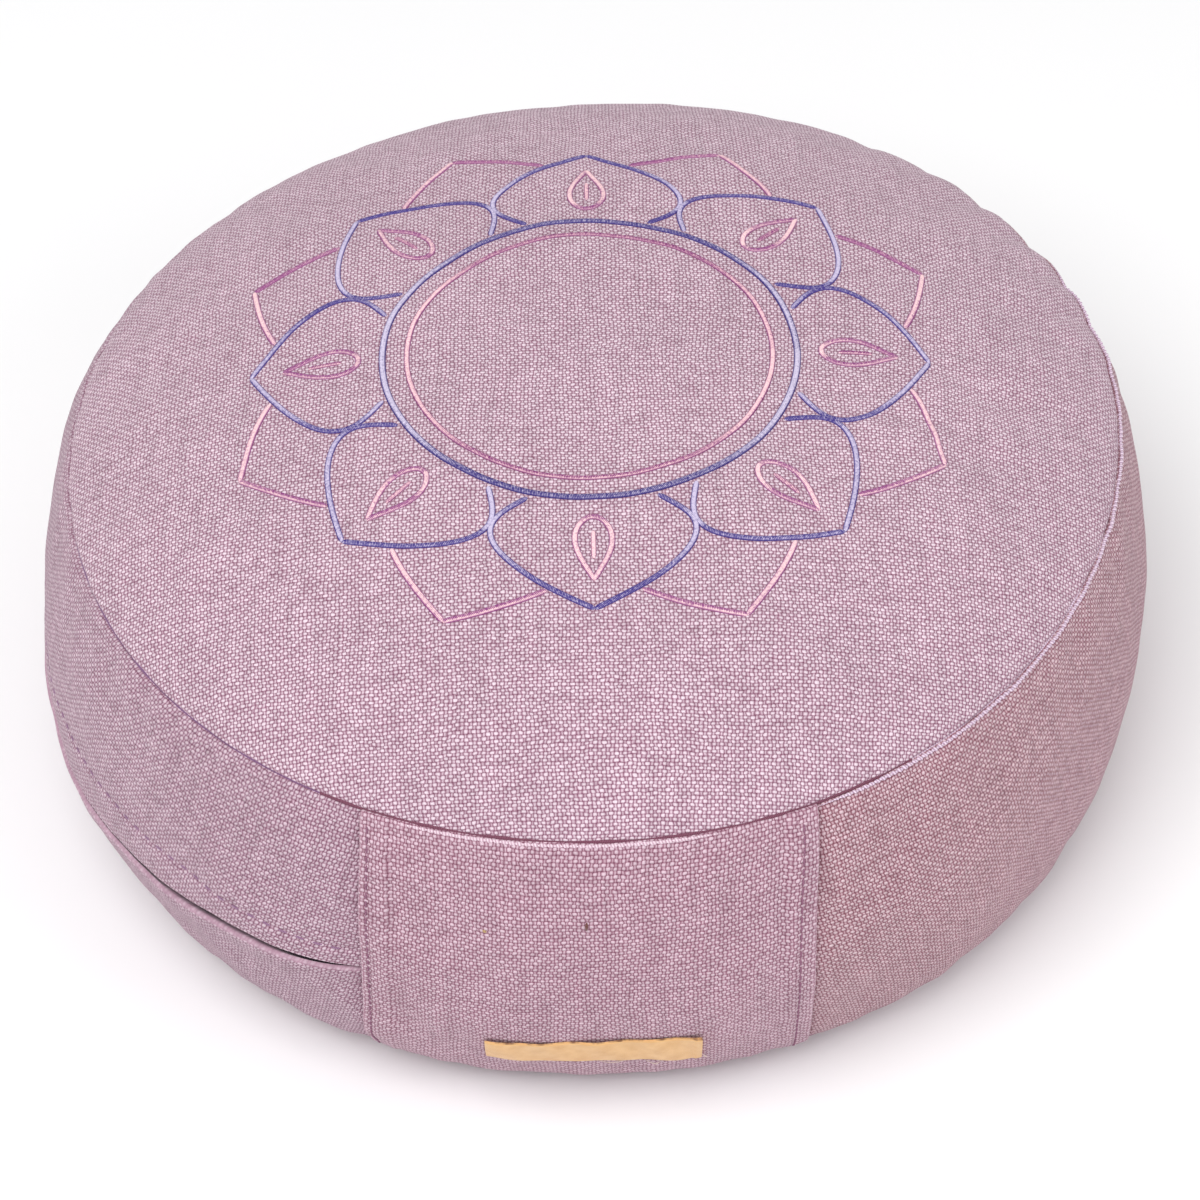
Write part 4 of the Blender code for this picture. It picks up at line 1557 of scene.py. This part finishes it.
SEAM_THREADS = (
    # name, from, to, radius, depth, thread, slot
    ("crease_threads", EDGE_END, 243, 0.50 * MM, 0.85 * MM, crease_thread, "plain_cloth"),
    ("edge_crease", -59, EDGE_END + 0.5, 0.50 * MM, 0.95 * MM, edge_threads, "plain_cloth"),
    # The front crease's thread carries the crease's painted shade.
    ("front_crease", -118, -58, 0.58 * MM, 0.68 * MM, crease_shade_thread, "front_cloth"),
)
for name, start, end, radius, depth, thread, slot in SEAM_THREADS:
    thread_piece(name, [seam_thread(start, end, radius, depth)], thread, slot)

# %% Rows of stitches
STITCH_SHARES = np.array([0.0, 0.12, 0.35, 0.65, 0.88, 1.0])
STITCH_SIDES = 6
STITCH_RADIUS = 0.34 * MM


def stitch_row(start, end, out, arch):
    """Capsules from each start to each end: the radius swells from the ends to the middle,
    and the middle stands a little higher. Returns one strand of many small ones."""
    t = STITCH_SHARES[None, :, None]
    centre = start[:, None] + (end - start)[:, None] * t + out[:, None] * (arch * np.sin(np.pi * t))
    side = np.cross(out, end - start)
    side /= np.linalg.norm(side, axis=-1, keepdims=True)
    turn = np.arange(STITCH_SIDES) * 2 * np.pi / STITCH_SIDES
    swell = 0.35 + 0.65 * np.sin(np.pi * STITCH_SHARES) ** 0.5
    size = STITCH_RADIUS * swell[None, :, None, None]
    ring = side[:, None, None] * np.cos(turn)[:, None] + out[:, None, None] * np.sin(turn)[:, None]
    points = centre[:, :, None] + size * ring
    count, rings = points.shape[:2]
    each = rings * STITCH_SIDES
    starts = (np.arange(count) * each)[:, None, None]
    quads = (grid_quads(rings, STITCH_SIDES, round_columns=True)[None] + starts).reshape(-1, 4)
    sides = np.arange(STITCH_SIDES)
    cap = np.stack([np.zeros(STITCH_SIDES - 2, int), sides[2:], sides[1:-1]], -1)
    caps = np.concatenate([cap, cap[:, ::-1] + each - STITCH_SIDES])
    triangles = (caps[None] + starts).reshape(-1, 3)
    points = points.reshape(-1, 3)
    if volume_of(points, quads) + volume_of(points, triangles) < 0:
        quads, triangles = quads[:, ::-1], triangles[:, ::-1]
    length = np.linalg.norm((end - start)[0])
    around, along = np.meshgrid(turn * STITCH_RADIUS, STITCH_SHARES * length)
    uv = np.stack([around, along], -1).reshape(-1, 2)
    return points, quads, triangles, np.tile(uv, (count, 1))


STITCH_MARGIN = 4.0 * MM
FRONT_STITCH_SUNK = 0.25 * MM
FRONT_STITCH_ARCH = 0.22 * MM
HEM_STITCH_SUNK = 0.33 * MM
HEM_STITCH_ARCH = 0.15 * MM


def upright_stitches(seam, inside, pitch, length):
    """A row down the front panel, at a distance inside one of its ends."""
    direction = math.radians(seam) + math.copysign(inside, LABEL_AT - seam) / BAND_RADIUS
    places = np.arange(STITCH_MARGIN, BAND_HEIGHT - STITCH_MARGIN, pitch)
    ends = []
    for place in (places, places + length):
        share = place / BAND_HEIGHT
        theta = np.full_like(share, direction)
        rise = fold_rise(share) + band_rise(theta, share) - FRONT_STITCH_SUNK
        ends.append(surface_frame(theta, "band", share, rise))
    (a, out), (b, _) = ends
    return stitch_row(a, b, out, FRONT_STITCH_ARCH)


def hem_stitches(pitch, length):
    """The row along the placket's hem, from the back seam to the front one."""
    start = math.radians(BACK_SEAM - 360) + (round(6 * MM / pitch) + 0.5) * pitch / BAND_RADIUS
    last = math.radians(LEFT_SEAM) - 3 * MM / BAND_RADIUS
    centre = np.arange(start, last, pitch / BAND_RADIUS)
    ends = []
    for side in (-0.5, 0.5):
        theta = centre + side * length / BAND_RADIUS
        share = np.full_like(theta, HEM_SHARE)
        rise = band_rise(theta, share) - HEM_STITCH_SUNK
        ends.append(surface_frame(theta, "band", share, rise))
    (a, out), (b, _) = ends
    return stitch_row(a, b, out, HEM_STITCH_ARCH)


left_row = upright_stitches(LEFT_SEAM, LEFT_STITCH, END_STITCH, 2.1 * MM)
right_row = upright_stitches(RIGHT_SEAM, RIGHT_STITCH, 3.2 * MM, 2.4 * MM)
hem_row = hem_stitches(HEM_STITCH, 2.8 * MM)
front_stitches = thread_piece(
    "front_stitches", [left_row, right_row], sewing_thread, "front_cloth")
placket_stitches = thread_piece("placket_stitches", [hem_row], hem_thread, "flap_cloth")

# %% [markdown]
# ## Loose ends and flecks
# Hand-made cloth is never spotless: a few thread ends stick out by the label and at the left,
# and a brown fleck and a yellow one are woven into the front.

# %% Loose ends
END_STEPS = 40
END_SIDES = 6
SMOOTHED_OVER = 9


def loose_end(corners, radius, rise):
    """A thread through a few places given as direction in degrees and height, its radius
    tapering to the ends, on a smooth curve."""
    degrees, heights = np.array(corners).T
    knots = np.linspace(0, 1, len(degrees))
    t = np.linspace(0, 1, END_STEPS)
    bend = np.sin(np.pi * t)
    theta = np.radians(np.interp(t, knots, degrees))
    share = (SEAM_HEIGHT - np.interp(t, knots, heights)) / BAND_HEIGHT
    lift = band_rise(theta, share) + rise * (0.3 + bend)
    path, out = surface_frame(theta, "band", share, lift)
    padded = np.pad(path, ((SMOOTHED_OVER // 2,) * 2, (0, 0)), mode="edge")
    mean = np.ones(SMOOTHED_OVER) / SMOOTHED_OVER
    path = np.stack([np.convolve(axis, mean, "valid") for axis in padded.T], -1)
    turn = np.arange(END_SIDES) * 2 * np.pi / END_SIDES
    size = radius * (0.3 + 0.7 * bend)[:, None]
    return strand(path, out, size * np.cos(turn), size * np.sin(turn))


# %% Ends and flecks in place
pale_end = thread_finish("pale thread end", (232, 214, 206), (190, 160, 160), 0.7)
brown_fleck = thread_finish("brown fleck", (120, 72, 66), (78, 40, 40), 0.8)
straw_fleck = thread_finish("straw fleck", (196, 166, 120), (150, 116, 84), 0.8)
END_RADIUS = 0.20 * MM
LABEL_ENDS = (
    # directions in degrees and heights, then rise
    ([(-90.6, 0.0270), (-89.3, 0.0258), (-88.4, 0.0266), (-87.6, 0.0262)], 0.6 * MM),
    ([(-86.2, 0.0246), (-85.2, 0.0230), (-84.6, 0.0242)], 0.7 * MM),
    ([(-80.9, 0.0262), (-80.3, 0.0240), (-80.6, 0.0230)], 0.7 * MM),
)
LEFT_END = [(-178.0, 0.040), (-177.0, 0.036), (-177.6, 0.031)]
FLECK = [(-91.45, 0.0918), (-91.5, 0.0890)]
SPECK = [(-101.2, 0.0875), (-100.8, 0.0870)]
label_lines = [loose_end(corners, END_RADIUS, rise) for corners, rise in LABEL_ENDS]
thread_piece("label_ends", label_lines, pale_end, "ribbon")
thread_piece("left_end", [loose_end(LEFT_END, END_RADIUS, 1.6 * MM)], pale_end, "strip_cloth")
thread_piece("fleck", [loose_end(FLECK, 0.50 * MM, 0.12 * MM)], brown_fleck, "front_cloth")
thread_piece("speck", [loose_end(SPECK, 0.45 * MM, 0.1 * MM)], straw_fleck, "front_cloth")

# %% [markdown]
# ## Floor
# A plain pale floor, large enough that its edge never shows, with the faintest mottle.

# %% Floor
FLOOR_HALF = 3.0
FLOOR_HEIGHT = -0.2 * MM


def floor_piece():
    """A square just under height 0, with a matt, nearly white finish."""
    corners = FLOOR_HALF * np.array([(-1, -1), (1, -1), (1, 1), (-1, 1)])
    mesh = bpy.data.meshes.new("floor")
    mesh.from_pydata([(x, y, FLOOR_HEIGHT) for x, y in corners], [], [(0, 1, 2, 3)])
    material, shader, make, m, paint, emboss = new_material("floor", 0.8, specular=0.2)
    mottle = noise_of(make, make("TexCoord", output="Object"), 3.0)
    paint(colour_mix(make, mottle, srgb(243, 243, 244), srgb(248, 248, 248)))
    mesh.materials.append(material)
    floor = bpy.data.objects.new("floor", mesh)
    bpy.context.scene.collection.objects.link(floor)


floor_piece()
